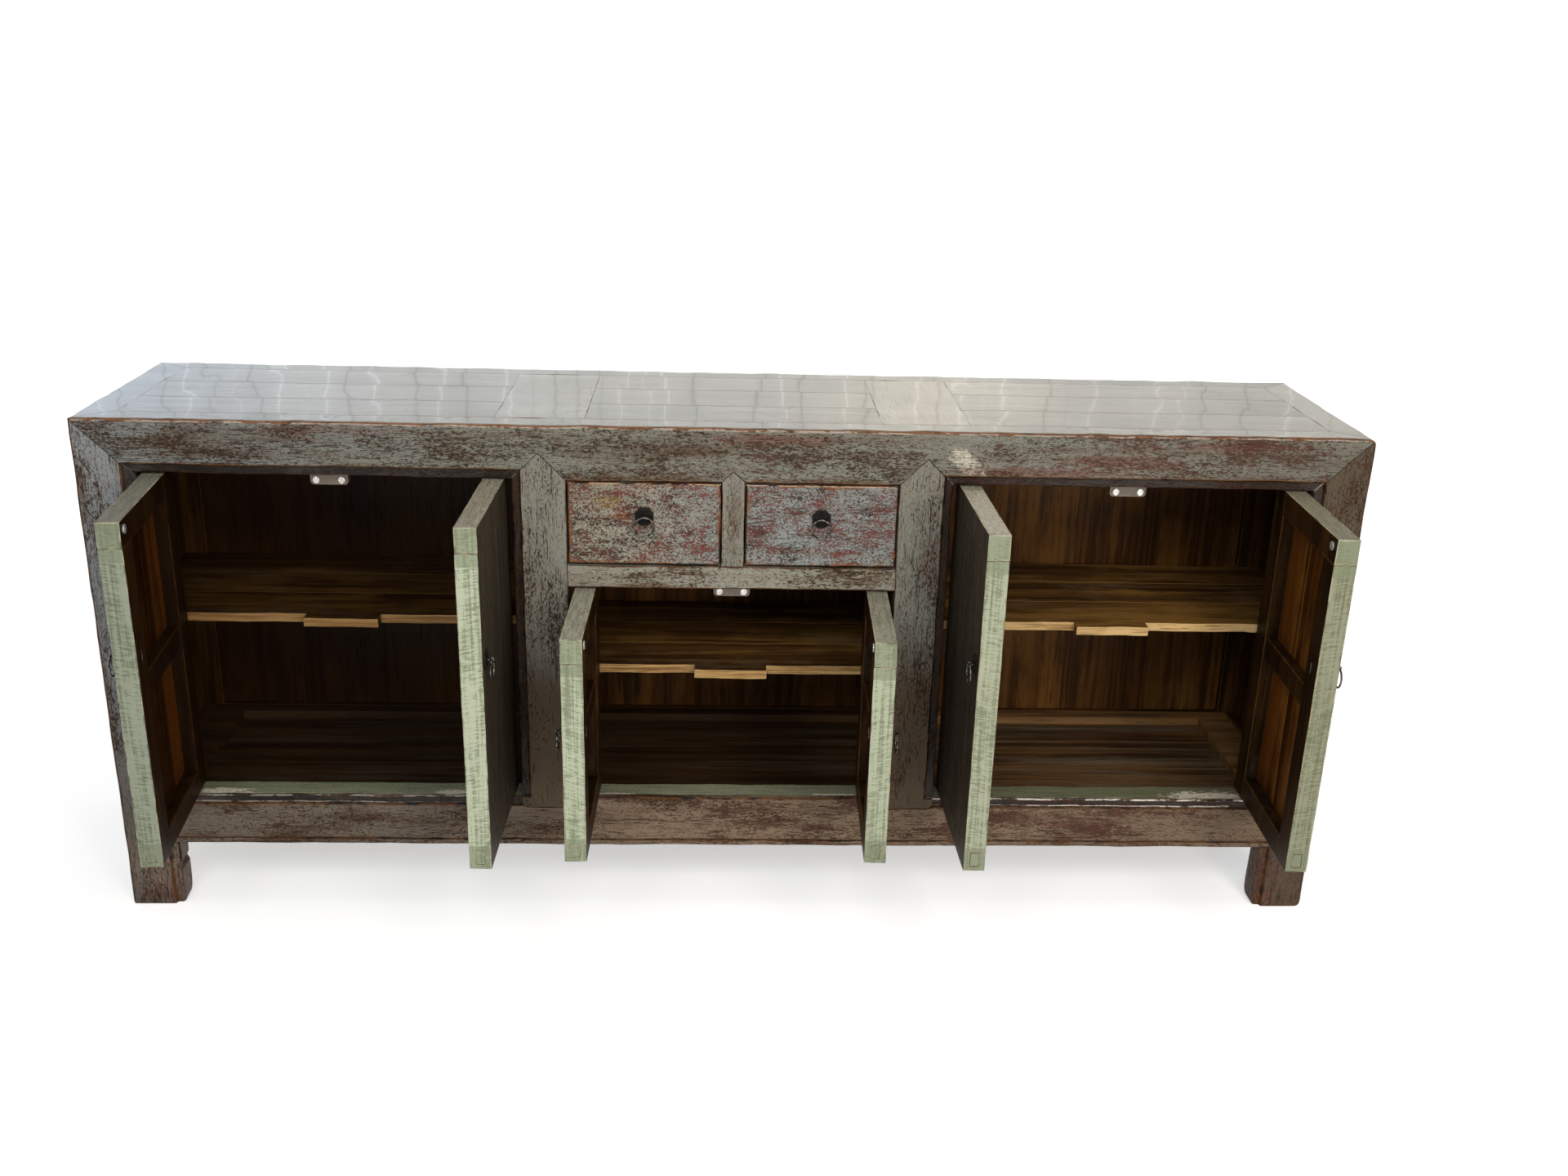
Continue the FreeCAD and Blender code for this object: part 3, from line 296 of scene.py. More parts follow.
def step_in(piece: Piece, way: float, steps: Steps) -> None:
    """Inset the front or the back of a piece and push it in or out, step by step.

    Args:
        piece: the piece to work.
        way: -1 for the faces that look to the front, 1 for those that look to the back.
        steps: for each step, the width of the inset and how far the inner face then moves to the back.
    """
    with bench_on_faces(piece, lambda centre, normal: facing(normal, y=way)):
        for width, move in steps:
            bpy.ops.mesh.inset(thickness=width)
            bpy.ops.transform.translate(value=(0.0, move, 0.0))


def move_to(piece: Piece, matrix: Matrix) -> None:
    """Move a modelled piece to its place, within its mesh.

    Args:
        piece: the piece, modelled at the origin.
        matrix: where it goes; it may mirror.
    """
    piece.data.transform(matrix)
    if matrix.determinant() < 0:
        with bench(piece):
            bpy.ops.mesh.normals_make_consistent(inside=False)


def join(pieces: Sequence[Piece], name: str) -> Piece:
    """Join settled objects into one.

    Args:
        pieces: the objects, the first of which stays.
        name: the name of the joined piece.

    Returns:
        The joined piece.
    """
    pick_only(pieces[0])
    for piece in pieces[1:]:
        piece.select_set(True)
    bpy.ops.object.join()
    pieces[0].name = pieces[0].data.name = name
    return pieces[0]


def board_ends(mesh: bpy.types.Mesh) -> List[int]:
    """Find where one closed board ends and the next begins in a mesh's run of faces.

    Args:
        mesh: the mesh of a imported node, whose boards follow one another.

    Returns:
        For each board, the number of the face after its last.
    """
    spots = [tuple(round(value, 6) for value in point.co) for point in mesh.vertices]
    odd: set = set()
    ends = []
    for polygon in mesh.polygons:
        ring = [spots[index] for index in polygon.vertices]
        for first, second in zip(ring, ring[1:] + ring[:1]):
            odd ^= {frozenset((first, second))}
        if not odd:
            ends.append(polygon.index + 1)
    return ends


def split_boards(piece: Piece) -> List[Piece]:
    """Separate a copied node into its boards, so that boards that touch aren't merged into one.

    Args:
        piece: the copy.

    Returns:
        The boards; the first is the copy itself.
    """
    ends = board_ends(piece.data)
    boards = [piece]
    for low, high in reversed(list(zip(ends[:-1], ends[1:]))):
        picks = [low <= number < high for number in range(len(piece.data.polygons))]
        with bench_on(piece, Choice.FACES, picks):
            bpy.ops.mesh.separate(type="SELECTED")
        boards += [other for other in bpy.context.selected_objects if other not in boards]
    return boards


def worn_copy(node: str, name: str) -> Piece:
    """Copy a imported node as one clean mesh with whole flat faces.

    Args:
        node: the node to copy.
        name: the name of the copy.

    Returns:
        The copy, which rides on nothing yet.
    """
    pick_only(frame["nodes"][node])
    bpy.ops.object.duplicate()
    piece = bpy.context.view_layer.objects.active
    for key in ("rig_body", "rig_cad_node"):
        del piece[key]
    bpy.ops.object.parent_clear(type="CLEAR_KEEP_TRANSFORM")
    piece.name = name
    piece.data.name = name
    piece.data.materials.clear()
    bpy.ops.mesh.customdata_custom_splitnormals_clear()
    boards = split_boards(piece)
    for board in boards:
        with bench(board):
            bpy.ops.mesh.remove_doubles(threshold=SAME_POINT)
            bpy.ops.mesh.dissolve_limited(angle_limit=math.radians(SAME_PLANE))
    return join(boards, name)


def work_over(piece: Piece, kind: str, **settings: object) -> None:
    """Add a modifier to a piece, set it up and apply it.

    Args:
        piece: the piece to work.
        kind: the kind of modifier.
        settings: properties to set on it.
    """
    pick_only(piece)
    made = piece.modifiers.new(kind.lower(), kind)
    for key, value in settings.items():
        setattr(made, key, value)
    bpy.ops.object.modifier_apply(modifier=made.name)


def cloud_pattern(name: str, **settings: object) -> bpy.types.Texture:
    """Find a pattern of clouds by its name, or make it.

    Args:
        name: its name.
        settings: properties to set on it when it is made.

    Returns:
        The pattern, by which a modifier moves a surface.
    """
    if name not in bpy.data.textures:
        made = bpy.data.textures.new(name, "CLOUDS")
        for key, value in settings.items():
            setattr(made, key, value)
    return bpy.data.textures[name]


def soften(piece: Piece, width: float, segments: int = 2, limit: float = 35.0) -> None:
    """Round every sharp arris of a piece a little."""
    work_over(piece, "BEVEL", width=width, segments=segments, limit_method="ANGLE",
              angle_limit=math.radians(limit), use_clamp_overlap=False)


def close_seams(piece: Piece, across: Grain, reach: float = 0.0004) -> None:
    """Widen every board of a piece a little, so that no light shows through the seams.

    Args:
        piece: the piece, one mesh of several boards.
        across: the direction from board to board.
        reach: how far each side moves out.
    """
    way = Vector(across.value)
    for sign in (-1.0, 1.0):
        with bench_on_faces(piece, lambda centre, normal: facing(normal, *(way * sign))):
            bpy.ops.transform.translate(value=way * sign * reach)


def round_off(piece: Piece, corner: Vector, out: Pair, radius: float, cuts: int = 6) -> None:
    """Round an end corner of a piece by slicing it with planes that touch a circle.

    Args:
        piece: the copy of the piece.
        corner: a point on the sharp corner.
        out: the directions, -1 or 1, in which the corner points from left to right and in height.
        radius: the radius of the rounding.
        cuts: the number of slices.
    """
    centre = corner - Vector((out[0], 0.0, out[1])) * radius
    with bench(piece):
        for step in range(1, cuts + 1):
            angle = math.pi / 2.0 * step / (cuts + 1)
            way = Vector((out[0] * math.cos(angle), 0.0, out[1] * math.sin(angle)))
            bpy.ops.mesh.select_all(action="SELECT")
            bpy.ops.mesh.bisect(plane_co=centre + way * radius, plane_no=way, use_fill=True,
                                clear_outer=True)


def round_heads(piece: Piece) -> None:
    """Round the two upper outer corners of the carcass where they fall on a piece."""
    for side in (-1.0, 1.0):
        round_off(piece, Vector((side * HALF_WIDTH, 0.0, HEIGHT)), (side, 1.0), HEAD_ROUND[side])


def ripple(piece: Piece, run: Grain, depth: float, pitch: float = 0.016) -> None:
    """Make the faces of a piece uneven, as by a hand plane; neighbours move alike, so joints stay shut.

    Args:
        piece: the piece to work.
        run: the direction in which it is long.
        depth: the strength of the unevenness.
        pitch: the distance between the cuts that let it bend.
    """
    axis = run.value.index(1)
    ends = [point.co[axis] for point in piece.data.vertices]
    low, high = min(ends), max(ends)
    with bench(piece):
        for step in range(1, int((high - low) / pitch)):
            bpy.ops.mesh.select_all(action="SELECT")
            spot = Vector(run.value) * (low + step * pitch)
            bpy.ops.mesh.bisect(plane_co=spot, plane_no=run.value)
    pattern = cloud_pattern("unevenness", cloud_type="COLOR", noise_scale=0.055, noise_depth=2)
    work_over(piece, "DISPLACE", texture=pattern, texture_coords="LOCAL", direction="RGB_TO_XYZ",
              strength=depth, mid_level=0.5)


def shade(piece: Piece, angle: float = 40.0) -> None:
    """Smooth the roundings and keep the flats flat.

    Args:
        piece: the piece to shade.
        angle: the angle from which an edge stays sharp, in degrees.
    """
    pick_only(piece)
    bpy.ops.object.shade_smooth_by_angle(angle=math.radians(angle))
    work_over(piece, "WEIGHTED_NORMAL", keep_sharp=True)


def boards_of(mesh: bpy.types.Mesh) -> List[int]:
    """Number the separate boards of a mesh.

    Args:
        mesh: the mesh to look at.

    Returns:
        For each point, the number of the board that it belongs to.
    """
    parent = list(range(len(mesh.vertices)))

    def root(index: int) -> int:
        """First point of the board that a point belongs to.

        Args:
            index: the point.

        Returns:
            The first point.
        """
        while parent[index] != index:
            parent[index] = parent[parent[index]]
            index = parent[index]
        return index

    for edge in mesh.edges:
        first, second = (root(index) for index in edge.vertices)
        parent[max(first, second)] = min(first, second)
    roots = [root(index) for index in range(len(parent))]
    order = {value: number for number, value in enumerate(sorted(set(roots)))}
    return [order[value] for value in roots]


def mark_boards(piece: Piece, to_bench: Matrix = Matrix.Identity(4)) -> None:
    """Store where each point lies on its board, so that finishes know the arrises and vary by board.

    Args:
        piece: the piece to mark.
        to_bench: turns the piece into the frame in which its boards lie square.
    """
    mesh = piece.data
    numbers = boards_of(mesh)
    spots = [to_bench @ point.co for point in mesh.vertices]
    low: Dict[int, List[float]] = {}
    high: Dict[int, List[float]] = {}
    for number, spot in zip(numbers, spots):
        least = low.setdefault(number, list(spot))
        most = high.setdefault(number, list(spot))
        for axis in range(3):
            least[axis] = min(least[axis], spot[axis])
            most[axis] = max(most[axis], spot[axis])
    values: Dict[str, List[float]] = {"low_gap": [], "high_gap": [], "place": []}
    for number, spot in zip(numbers, spots):
        values["low_gap"] += [spot[axis] - low[number][axis] for axis in range(3)]
        values["high_gap"] += [high[number][axis] - spot[axis] for axis in range(3)]
        values["place"] += list(spot)
    for key, flat in values.items():
        mesh.attributes.new(key, "FLOAT_VECTOR", "POINT").data.foreach_set("vector", flat)
    shares = [(number * BOARD_STEP + len(piece.name) * NAME_STEP) % 1.0 for number in numbers]
    mesh.attributes.new("board", "FLOAT", "POINT").data.foreach_set("value", shares)
    turn = to_bench.to_3x3()
    slopes = [Slope.of(turn @ polygon.normal).value for polygon in mesh.polygons]
    mesh.attributes.new("arris", "FLOAT", "FACE").data.foreach_set("value", slopes)


def hand_over(piece: Piece, body: str, nodes: Sequence[str]) -> None:
    """Hang a finished piece on its body and report it.

    Args:
        piece: the finished piece.
        body: the body that carries it.
        nodes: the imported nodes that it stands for.
    """
    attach(piece, body)
    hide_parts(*nodes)
    LOG.info("%s on %s: %d faces", piece.name, body, len(piece.data.polygons))


class Mixer:
    """Adds shader nodes to one tree and joins them up."""

    def __init__(self, tree: bpy.types.NodeTree) -> None:
        """Work on one tree."""
        self.tree = tree

    def node(self, kind: str, **settings: object) -> bpy.types.Node:
        """Add a node.

        Args:
            kind: the node's type, without the leading word that all shader nodes share.
            settings: properties to set on it.

        Returns:
            The new node.
        """
        made = self.tree.nodes.new("ShaderNode" + kind)
        for key, value in settings.items():
            setattr(made, key, value)
        return made

    def feed(self, socket: Socket, value: Feed) -> None:
        """Set a socket to a constant, or link another socket to it.

        Args:
            socket: the socket to feed.
            value: the constant or the other socket.
        """
        if isinstance(value, Socket):
            self.tree.links.new(value, socket)
        elif isinstance(value, tuple) and len(socket.default_value) == 4:
            socket.default_value = (*value, 1.0)
        else:
            socket.default_value = value

    def feed_all(self, node: bpy.types.Node, inputs: Dict[str, Feed]) -> None:
        """Set or link several sockets of a node, by their names."""
        for key, value in inputs.items():
            self.feed(node.inputs[key], value)

    def here(self) -> Socket:
        """Place on the object."""
        return self.node("TexCoord").outputs["Object"]

    def joined(self, kind: str, values: Sequence[Feed], **settings: object) -> Socket:
        """Add a node and feed its sockets in their order.

        Args:
            kind: the node's type.
            values: what its sockets get.
            settings: properties to set on it.

        Returns:
            Its first output.
        """
        made = self.node(kind, **settings)
        for socket, value in zip(made.inputs, values):
            self.feed(socket, value)
        return made.outputs[0]

    def along(self, value: Feed) -> Socket:
        """Place that changes along one line only."""
        return self.joined("CombineXYZ", (value,))

    def noise(self, place: Feed, scale: float, detail: float = 3.0, rough: float = 0.55,
              twist: float = 0.0) -> Socket:
        """Cloudy noise from 0 to 1.

        Args:
            place: where the pattern is read.
            scale: patches in a metre.
            detail: how many finer layers are added.
            rough: how strong the finer layers are.
            twist: how much the pattern is distorted.

        Returns:
            The noise value.
        """
        made = self.node("TexNoise")
        self.feed_all(made, {"Vector": place, "Scale": scale, "Detail": detail, "Roughness": rough,
                             "Distortion": twist})
        return made.outputs[0]

    def cells(self, place: Feed, scale: float) -> Socket:
        """Distance to the nearest edge in a pattern of cells.

        Args:
            place: where the pattern is read.
            scale: how fine it is.

        Returns:
            The distance.
        """
        made = self.node("TexVoronoi", feature="DISTANCE_TO_EDGE")
        self.feed_all(made, {"Vector": place, "Scale": scale})
        return made.outputs["Distance"]

    def maths(self, operation: str, *values: Feed) -> Socket:
        """One step of arithmetic on numbers."""
        return self.joined("Math", values, operation=operation)

    def total(self, *values: Feed) -> Socket:
        """Sum of several numbers."""
        return reduce(partial(self.maths, "ADD"), values)

    def times(self, *values: Feed) -> Socket:
        """Product of several numbers."""
        return reduce(partial(self.maths, "MULTIPLY"), values)

    def vector(self, operation: str, *values: Feed) -> Socket:
        """One step of arithmetic on vectors."""
        return self.joined("VectorMath", values, operation=operation)

    def span(self, value: Feed, low: Feed, high: Feed, start: float = 0.0, end: float = 1.0) -> Socket:
        """Smooth step of a value between two levels, from a start to an end."""
        return self.joined("MapRange", (value, low, high, start, end), interpolation_type="SMOOTHSTEP")

    def blend(self, share: Feed, under: Feed, over: Feed) -> Socket:
        """Lay one colour over another.

        Args:
            share: how much of the upper one shows.
            under: the lower colour.
            over: the upper colour.

        Returns:
            The mixed colour.
        """
        made = self.node("Mix", data_type="RGBA")
        self.feed(made.inputs[0], share)
        self.feed(made.inputs[6], under)
        self.feed(made.inputs[7], over)
        return made.outputs[2]

    def axes(self, place: Feed) -> List[Socket]:
        """The three parts of a vector."""
        return list(self.joined("SeparateXYZ", (place,)).node.outputs)

    def attribute(self, name: str, output: str = "Vector") -> Socket:
        """Value that was stored on the mesh."""
        return self.node("Attribute", attribute_name=name).outputs[output]

    def effect(self, tree: bpy.types.NodeTree, **inputs: Feed) -> bpy.types.Node:
        """Place a shared effect with its own values.

        Args:
            tree: the tree of the effect.
            inputs: what its sockets get, by their names.

        Returns:
            The node.
        """
        made = self.node("Group", node_tree=tree)
        self.feed_all(made, {key.replace("_", " ").title(): value for key, value in inputs.items()})
        return made


class Effects:
    """The effects that several finishes share, each a node group that is built once."""

    def __init__(self) -> None:
        """Build every effect."""
        self.grain = self.build_grain()
        self.flaking = self.build_flaking()
        self.rubbing = self.build_rubbing()
        self.crackle = self.build_crackle()

    @staticmethod
    def start(name: str, inputs: Dict[str, str], outputs: Sequence[str]) -> Tuple[Mixer, Dict, Dict]:
        """Make an empty effect.

        Args:
            name: the effect's name.
            inputs: the kind of each input, by its name.
            outputs: the names of the outputs, all numbers.

        Returns:
            The mixer of its tree, its input sockets and its output sockets by name.
        """
        tree = bpy.data.node_groups.new(name, "ShaderNodeTree")
        for key, kind in inputs.items():
            tree.interface.new_socket(name=key, in_out="INPUT", socket_type="NodeSocket" + kind)
        for key in outputs:
            tree.interface.new_socket(name=key, in_out="OUTPUT", socket_type="NodeSocketFloat")
        source = tree.nodes.new("NodeGroupInput")
        sink = tree.nodes.new("NodeGroupOutput")
        return (Mixer(tree), {key: source.outputs[key] for key in inputs},
                {key: sink.inputs[key] for key in outputs})

    def build_grain(self) -> bpy.types.NodeTree:
        """Grain: broad streaks and fine dark pores, both drawn out along the board.

        Returns:
            The tree of the effect.
        """
        mix, given, result = self.start("grain", {"Streak Place": "Vector", "Pore Place": "Vector"},
                                        ("Streaks", "Pores"))
        broad = mix.noise(given["Streak Place"], 1.0, 4.0, 0.62, 0.25)
        mix.feed(result["Streaks"], mix.span(broad, 0.3, 0.7))
        fine = mix.noise(given["Pore Place"], 1.0, 2.0, 0.6)
        patches = mix.noise(given["Streak Place"], 0.35, 2.0)
        mix.feed(result["Pores"], mix.span(mix.total(fine, mix.times(patches, 0.25)), 0.72, 0.8))
        return mix.tree

    def build_flaking(self) -> bpy.types.NodeTree:
        """Flaking: crisp chips where the coat is gone, and a soft halo where it is thin.

        Returns:
            The tree of the effect.
        """
        mix, given, result = self.start("flaking", {"Chip Place": "Vector", "Area Place": "Vector",
                                                    "Bias": "Float", "Bunching": "Float"}, ("Chips", "Halo"))
        chips = mix.noise(given["Chip Place"], 1.0, 6.0, 0.66, 0.3)
        areas = mix.noise(given["Area Place"], 1.0, 3.0, 0.6)
        bunched = mix.times(mix.maths("SUBTRACT", areas, 0.5), given["Bunching"])
        level = mix.total(chips, bunched, given["Bias"])
        mix.feed(result["Chips"], mix.span(level, 0.585, 0.615))
        mix.feed(result["Halo"], mix.span(level, 0.44, 0.62))
        return mix.tree

    def build_rubbing(self) -> bpy.types.NodeTree:
        """Rubbing: worn arrises, from the distances to the edges of the board.

        Returns:
            The tree of the effect.
        """
        mix, given, result = self.start("rubbing", {"Low Gap": "Vector", "High Gap": "Vector",
                                                    "Place": "Vector", "Width": "Float"}, ("Rub",))
        gaps = mix.vector("MINIMUM", given["Low Gap"], given["High Gap"])
        first, second, third = mix.axes(gaps)
        least = mix.maths("MINIMUM", first, second)
        most = mix.maths("MAXIMUM", first, second)
        nearest = mix.maths("MAXIMUM", least, mix.maths("MINIMUM", most, third))
        ragged = mix.noise(given["Place"], 26.0, 5.0, 0.65)
        reach = mix.times(given["Width"], mix.span(ragged, 0.36, 0.66, 0.15, 2.2))
        mix.feed(result["Rub"], mix.span(nearest, mix.times(reach, 0.55), reach, 1.0, 0.0))
        return mix.tree

    def build_crackle(self) -> bpy.types.NodeTree:
        """Crackle: a net of hairline cracks in the gloss.

        Returns:
            The tree of the effect.
        """
        mix, given, result = self.start("crackle", {"Place": "Vector"}, ("Cracks",))
        bent = mix.vector("ADD", given["Place"], mix.noise(given["Place"], 3.0, 2.0))
        edges = mix.cells(bent, 1.0)
        gate = mix.span(mix.noise(given["Place"], 0.4, 2.0), 0.42, 0.62)
        mix.feed(result["Cracks"], mix.times(mix.span(edges, 0.0, 0.035, 1.0, 0.0), gate))
        return mix.tree


EFFECTS = Effects()


@dataclass(frozen=True)
class Stain:
    """A patch of another colour at one place on the front."""

    x: float
    z: float
    width: float
    height: float
    colour: Colour
    share: float = 0.8


@dataclass(frozen=True)
class Finish:
    """What every finish has: a name, the run of the grain and how its pattern is placed."""

    name: str
    grain: Grain = Grain.ACROSS
    placing: Placing = Placing.FIXED

    def start(self) -> Tuple[bpy.types.Material, Mixer, bpy.types.Node]:
        """Make an empty material.

        Returns:
            The material, the mixer of its tree and its surface shader.
        """
        material = bpy.data.materials.new(self.name)
        material.use_nodes = True
        return material, Mixer(material.node_tree), material.node_tree.nodes["Principled BSDF"]

    def place(self, mix: Mixer) -> Socket:
        """Where the pattern is read, moved apart from board to board.

        Args:
            mix: the mixer of the material.

        Returns:
            The place.
        """
        spot = mix.attribute("place") if self.placing is Placing.HUNG else mix.here()
        apart = mix.vector("SCALE", BOARD_SHIFT)
        mix.feed(apart.node.inputs["Scale"], mix.attribute("board", "Fac"))
        return mix.vector("ADD", spot, apart)

    def drawn(self, mix: Mixer, place: Feed, along: float, across: float) -> Socket:
        """Place drawn out along the grain."""
        return mix.vector("MULTIPLY", place, self.grain.scaled(along, across))

    def grain_effect(self, mix: Mixer, place: Feed, streak: Pair, pore: Pair) -> bpy.types.Node:
        """Grain effect with the finish's own scales."""
        return mix.effect(EFFECTS.grain, streak_place=self.drawn(mix, place, *streak),
                          pore_place=self.drawn(mix, place, *pore))

    def rub(self, mix: Mixer, place: Feed, width: float) -> Socket:
        """Mask of the worn arrises."""
        return mix.effect(EFFECTS.rubbing, low_gap=mix.attribute("low_gap"),
                          high_gap=mix.attribute("high_gap"), place=place, width=width).outputs["Rub"]

    @staticmethod
    def arrises(mix: Mixer) -> Tuple[Socket, Socket, Socket]:
        """Masks of the rounded arrises, of the joint lines and of the arrises that look up.

        Args:
            mix: the mixer of the material.

        Returns:
            The masks.
        """
        stored = mix.attribute("arris", "Fac")
        marks = [slope.value for slope in Slope]
        slanting, arris, upper = (mix.maths("GREATER_THAN", stored, (low + high) / 2.0)
                                  for low, high in zip(marks, marks[1:]))
        return arris, mix.maths("SUBTRACT", slanting, arris), upper

    def stained(self, mix: Mixer, coat: Feed, place: Feed, x: Feed, z: Feed,
                stains: Sequence[Stain]) -> Feed:
        """Lay patches of other colours on a coat.

        Args:
            mix: the mixer of the material.
            coat: the colour so far.
            place: where patterns are read.
            x: the place from left to right.
            z: the height, or the depth on a level face.
            stains: the patches.

        Returns:
            The colour with its patches.
        """
        if not stains:
            return coat
        ragged = mix.noise(self.drawn(mix, place, 70.0, 150.0), 1.0, 5.0, 0.75)
        broken = mix.noise(self.drawn(mix, place, 150.0, 420.0), 1.0, 4.0, 0.75)
        in_front = mix.span(mix.axes(mix.here())[1], -0.02, 0.02, 1.0, 0.0)
        broken = mix.times(mix.span(broken, 0.42, 0.58, 0.35, 1.0), in_front)
        for stain in stains:
            across = mix.times(mix.maths("SUBTRACT", x, stain.x), 1.0 / stain.width)
            upward = mix.times(mix.maths("SUBTRACT", z, stain.z), 1.0 / stain.height)
            reach = mix.maths("SQRT", mix.total(mix.times(across, across), mix.times(upward, upward)))
            spot = mix.span(mix.maths("SUBTRACT", mix.times(ragged, 2.6), reach), 0.35, 0.65)
            coat = mix.blend(mix.times(spot, broken, stain.share), coat, stain.colour)
        return coat

    @staticmethod
    def dress(mix: Mixer, surface: bpy.types.Node, height: Feed, depth: float,
              inputs: Dict[str, Feed]) -> None:
        """Feed the surface shader, and raise the surface by a pattern.

        Args:
            mix: the mixer of the material.
            surface: the surface shader.
            height: the pattern.
            depth: the depth of the pattern.
            inputs: what the shader's other sockets get, by their names.
        """
        bump = mix.node("Bump")
        mix.feed_all(bump, {"Distance": depth, "Height": height})
        mix.feed_all(surface, {**inputs, "Normal": bump.outputs[0]})

    def build(self) -> bpy.types.Material:
        """Make the material."""
        raise NotImplementedError


@dataclass(frozen=True)
class Lacquer(Finish):
    """Grey lacquer over a red ground, flaked, thinned along the grain and rubbed bare at the arrises."""

    cool: Colour = (0.196, 0.216, 0.212)
    warm: Colour = (0.205, 0.206, 0.172)
    turn: Pair = (-1.0, -0.30)
    thin: Colour = (0.102, 0.059, 0.033)
    ground: Colour = (0.118, 0.047, 0.035)
    dark: Colour = (0.036, 0.018, 0.0095)
    bare: Colour = (0.120, 0.052, 0.019)
    # Colour of the painted glints: pale highlight spots on the arrises that look up.
    rim: Colour = (0.600, 0.560, 0.500)
    lower: Colour = (0.056, 0.038, 0.021)
    flaking: float = 0.020
    red_left: float = 0.30
    red_right: float = 0.66
    red_scale: float = 7.0
    thinning: float = 0.35
    patch_level: float = 0.525
    patch_share: float = 0.70
    red_chips: float = 0.6
    arris_dark: float = 0.42
    # Strength of the painted glints at the left and at the right.
    glint_share: Pair = (0.0, 0.0)
    right_shade: float = 0.0
    low_shade: float = 0.0
    low_range: Pair = (0.10, 0.46)
    rub_width: float = 0.0016
    gloss: float = 0.32
    shine: float = 0.07
    coat: float = 0.02
    chip_scale: Pair = (75.0, 250.0)
    fleck_scale: Pair = (180.0, 500.0)
    cluster: Pair = (6.0, 22.0)
    bunching: float = 0.45
    pores: float = 0.85
    stains: Tuple[Stain, ...] = ()
    streak: Pair = (4.0, 80.0)
    pore: Pair = (30.0, 560.0)
    speckle_scale: Pair = (190.0, 480.0)
    glint_scale: Pair = (26.0, 60.0)
    speckle_share: float = 0.68
    halo_share: float = 0.28
    chip_share: float = 0.92
    rub_share: float = 0.75
    arris_share: float = 0.92
    joint_share: float = 0.85
    coat_rough: float = 0.12
    relief: float = 0.0008

    def chips(self, mix: Mixer, place: Feed) -> Tuple[Socket, Socket]:
        """Masks of the chipped spots, large and small, and of the thin coat round them.

        Args:
            mix: the mixer of the material.
            place: where the patterns are read.

        Returns:
            The masks.
        """
        areas = self.drawn(mix, place, *self.cluster)
        large, small = (
            mix.effect(EFFECTS.flaking, chip_place=self.drawn(mix, place, *scale), area_place=areas,
                       bias=bias, bunching=self.bunching)
            for scale, bias in ((self.chip_scale, self.flaking - 0.03), (self.fleck_scale, self.flaking)))
        return (mix.maths("MAXIMUM", large.outputs["Chips"], small.outputs["Chips"]),
                mix.maths("MAXIMUM", large.outputs["Halo"], small.outputs["Halo"]))

    def undamaged(self, mix: Mixer, place: Feed, x: Feed, z: Feed, clouds: Feed, streaks: Feed,
                  worn: Feed) -> Feed:
        """Colour of the coat before it is chipped: thin along the grain, worn in patches, darker at the foot.

        Args:
            mix: the mixer of the material.
            place: where patterns are read.
            x: the place from left to right.
            z: the height.
            clouds: a broad pattern.
            streaks: the streaks of the grain.
            worn: the colour of the worn patches.

        Returns:
            The colour.
        """
        drift = mix.times(mix.maths("SUBTRACT", clouds, 0.5), 0.9 * (self.turn[1] - self.turn[0]))
        coat = mix.blend(mix.span(mix.total(x, drift), *self.turn), self.cool, self.warm)
        thinned = mix.total(mix.times(streaks, 0.5), mix.times(clouds, 0.6))
        coat = mix.blend(mix.times(mix.span(thinned, 0.42, 0.86), self.thinning), coat, self.thin)
        ragged = mix.noise(self.drawn(mix, place, *self.cluster), 1.0, 9.0, 0.74, 0.15)
        patches = mix.total(ragged, mix.times(mix.maths("SUBTRACT", streaks, 0.5), 0.10))
        patches = mix.span(patches, self.patch_level, self.patch_level + 0.035, 0.0, self.patch_share)
        coat = mix.blend(patches, coat, worn)
        # Darker to the right and towards the foot: painted shade, partly the coat's own darker colour.
        coat = mix.blend(mix.span(mix.total(x, drift), 0.30, 0.95, 0.0, self.right_shade), coat, self.lower)
        low = mix.span(mix.total(z, mix.times(drift, 0.4)), *self.low_range, self.low_shade, 0.0)
        return mix.blend(low, coat, self.lower)

    def build(self) -> bpy.types.Material:
        """Make the material.

        Returns:
            The lacquer.
        """
        material, mix, surface = self.start()
        place = self.place(mix)
        x, _, z = mix.axes(mix.here())
        grain = self.grain_effect(mix, place, self.streak, self.pore)
        clouds = mix.noise(place, 5.0, 4.0, 0.62)
        redness = mix.total(mix.noise(place, self.red_scale, 3.0, 0.6),
                            mix.span(x, -1.0, 1.0, self.red_left - 0.5, self.red_right - 0.5))
        redness = mix.span(redness, 0.45, 0.66)
        coat = self.undamaged(mix, place, x, z, clouds, grain.outputs["Streaks"],
                              mix.blend(redness, self.thin, self.ground))
        speckle = mix.noise(self.drawn(mix, place, *self.speckle_scale), 1.0, 4.0, 0.7)
        coat = mix.blend(mix.span(speckle, 0.53, 0.61, 0.0, self.speckle_share), coat, self.thin)
        chips, halo = self.chips(mix, place)
        ground = mix.blend(mix.times(redness, self.red_chips), self.dark, self.ground)
        coat = mix.blend(mix.times(halo, self.halo_share), coat, self.thin)
        coat = self.stained(mix, coat, place, x, z, self.stains)
        coat = mix.blend(mix.times(chips, self.chip_share), coat, ground)
        coat = mix.blend(mix.times(grain.outputs["Pores"], self.pores), coat, self.dark)
        worn = mix.noise(place, 34.0, 4.0, 0.6)
        arris, joint, upper = self.arrises(mix)
        coat = mix.blend(mix.times(self.rub(mix, place, self.rub_width), self.rub_share), coat, self.bare)
        worn = mix.span(worn, self.arris_dark, self.arris_dark + 0.2)
        coat = mix.blend(mix.times(arris, self.arris_share), coat, mix.blend(worn, self.bare, GAP))
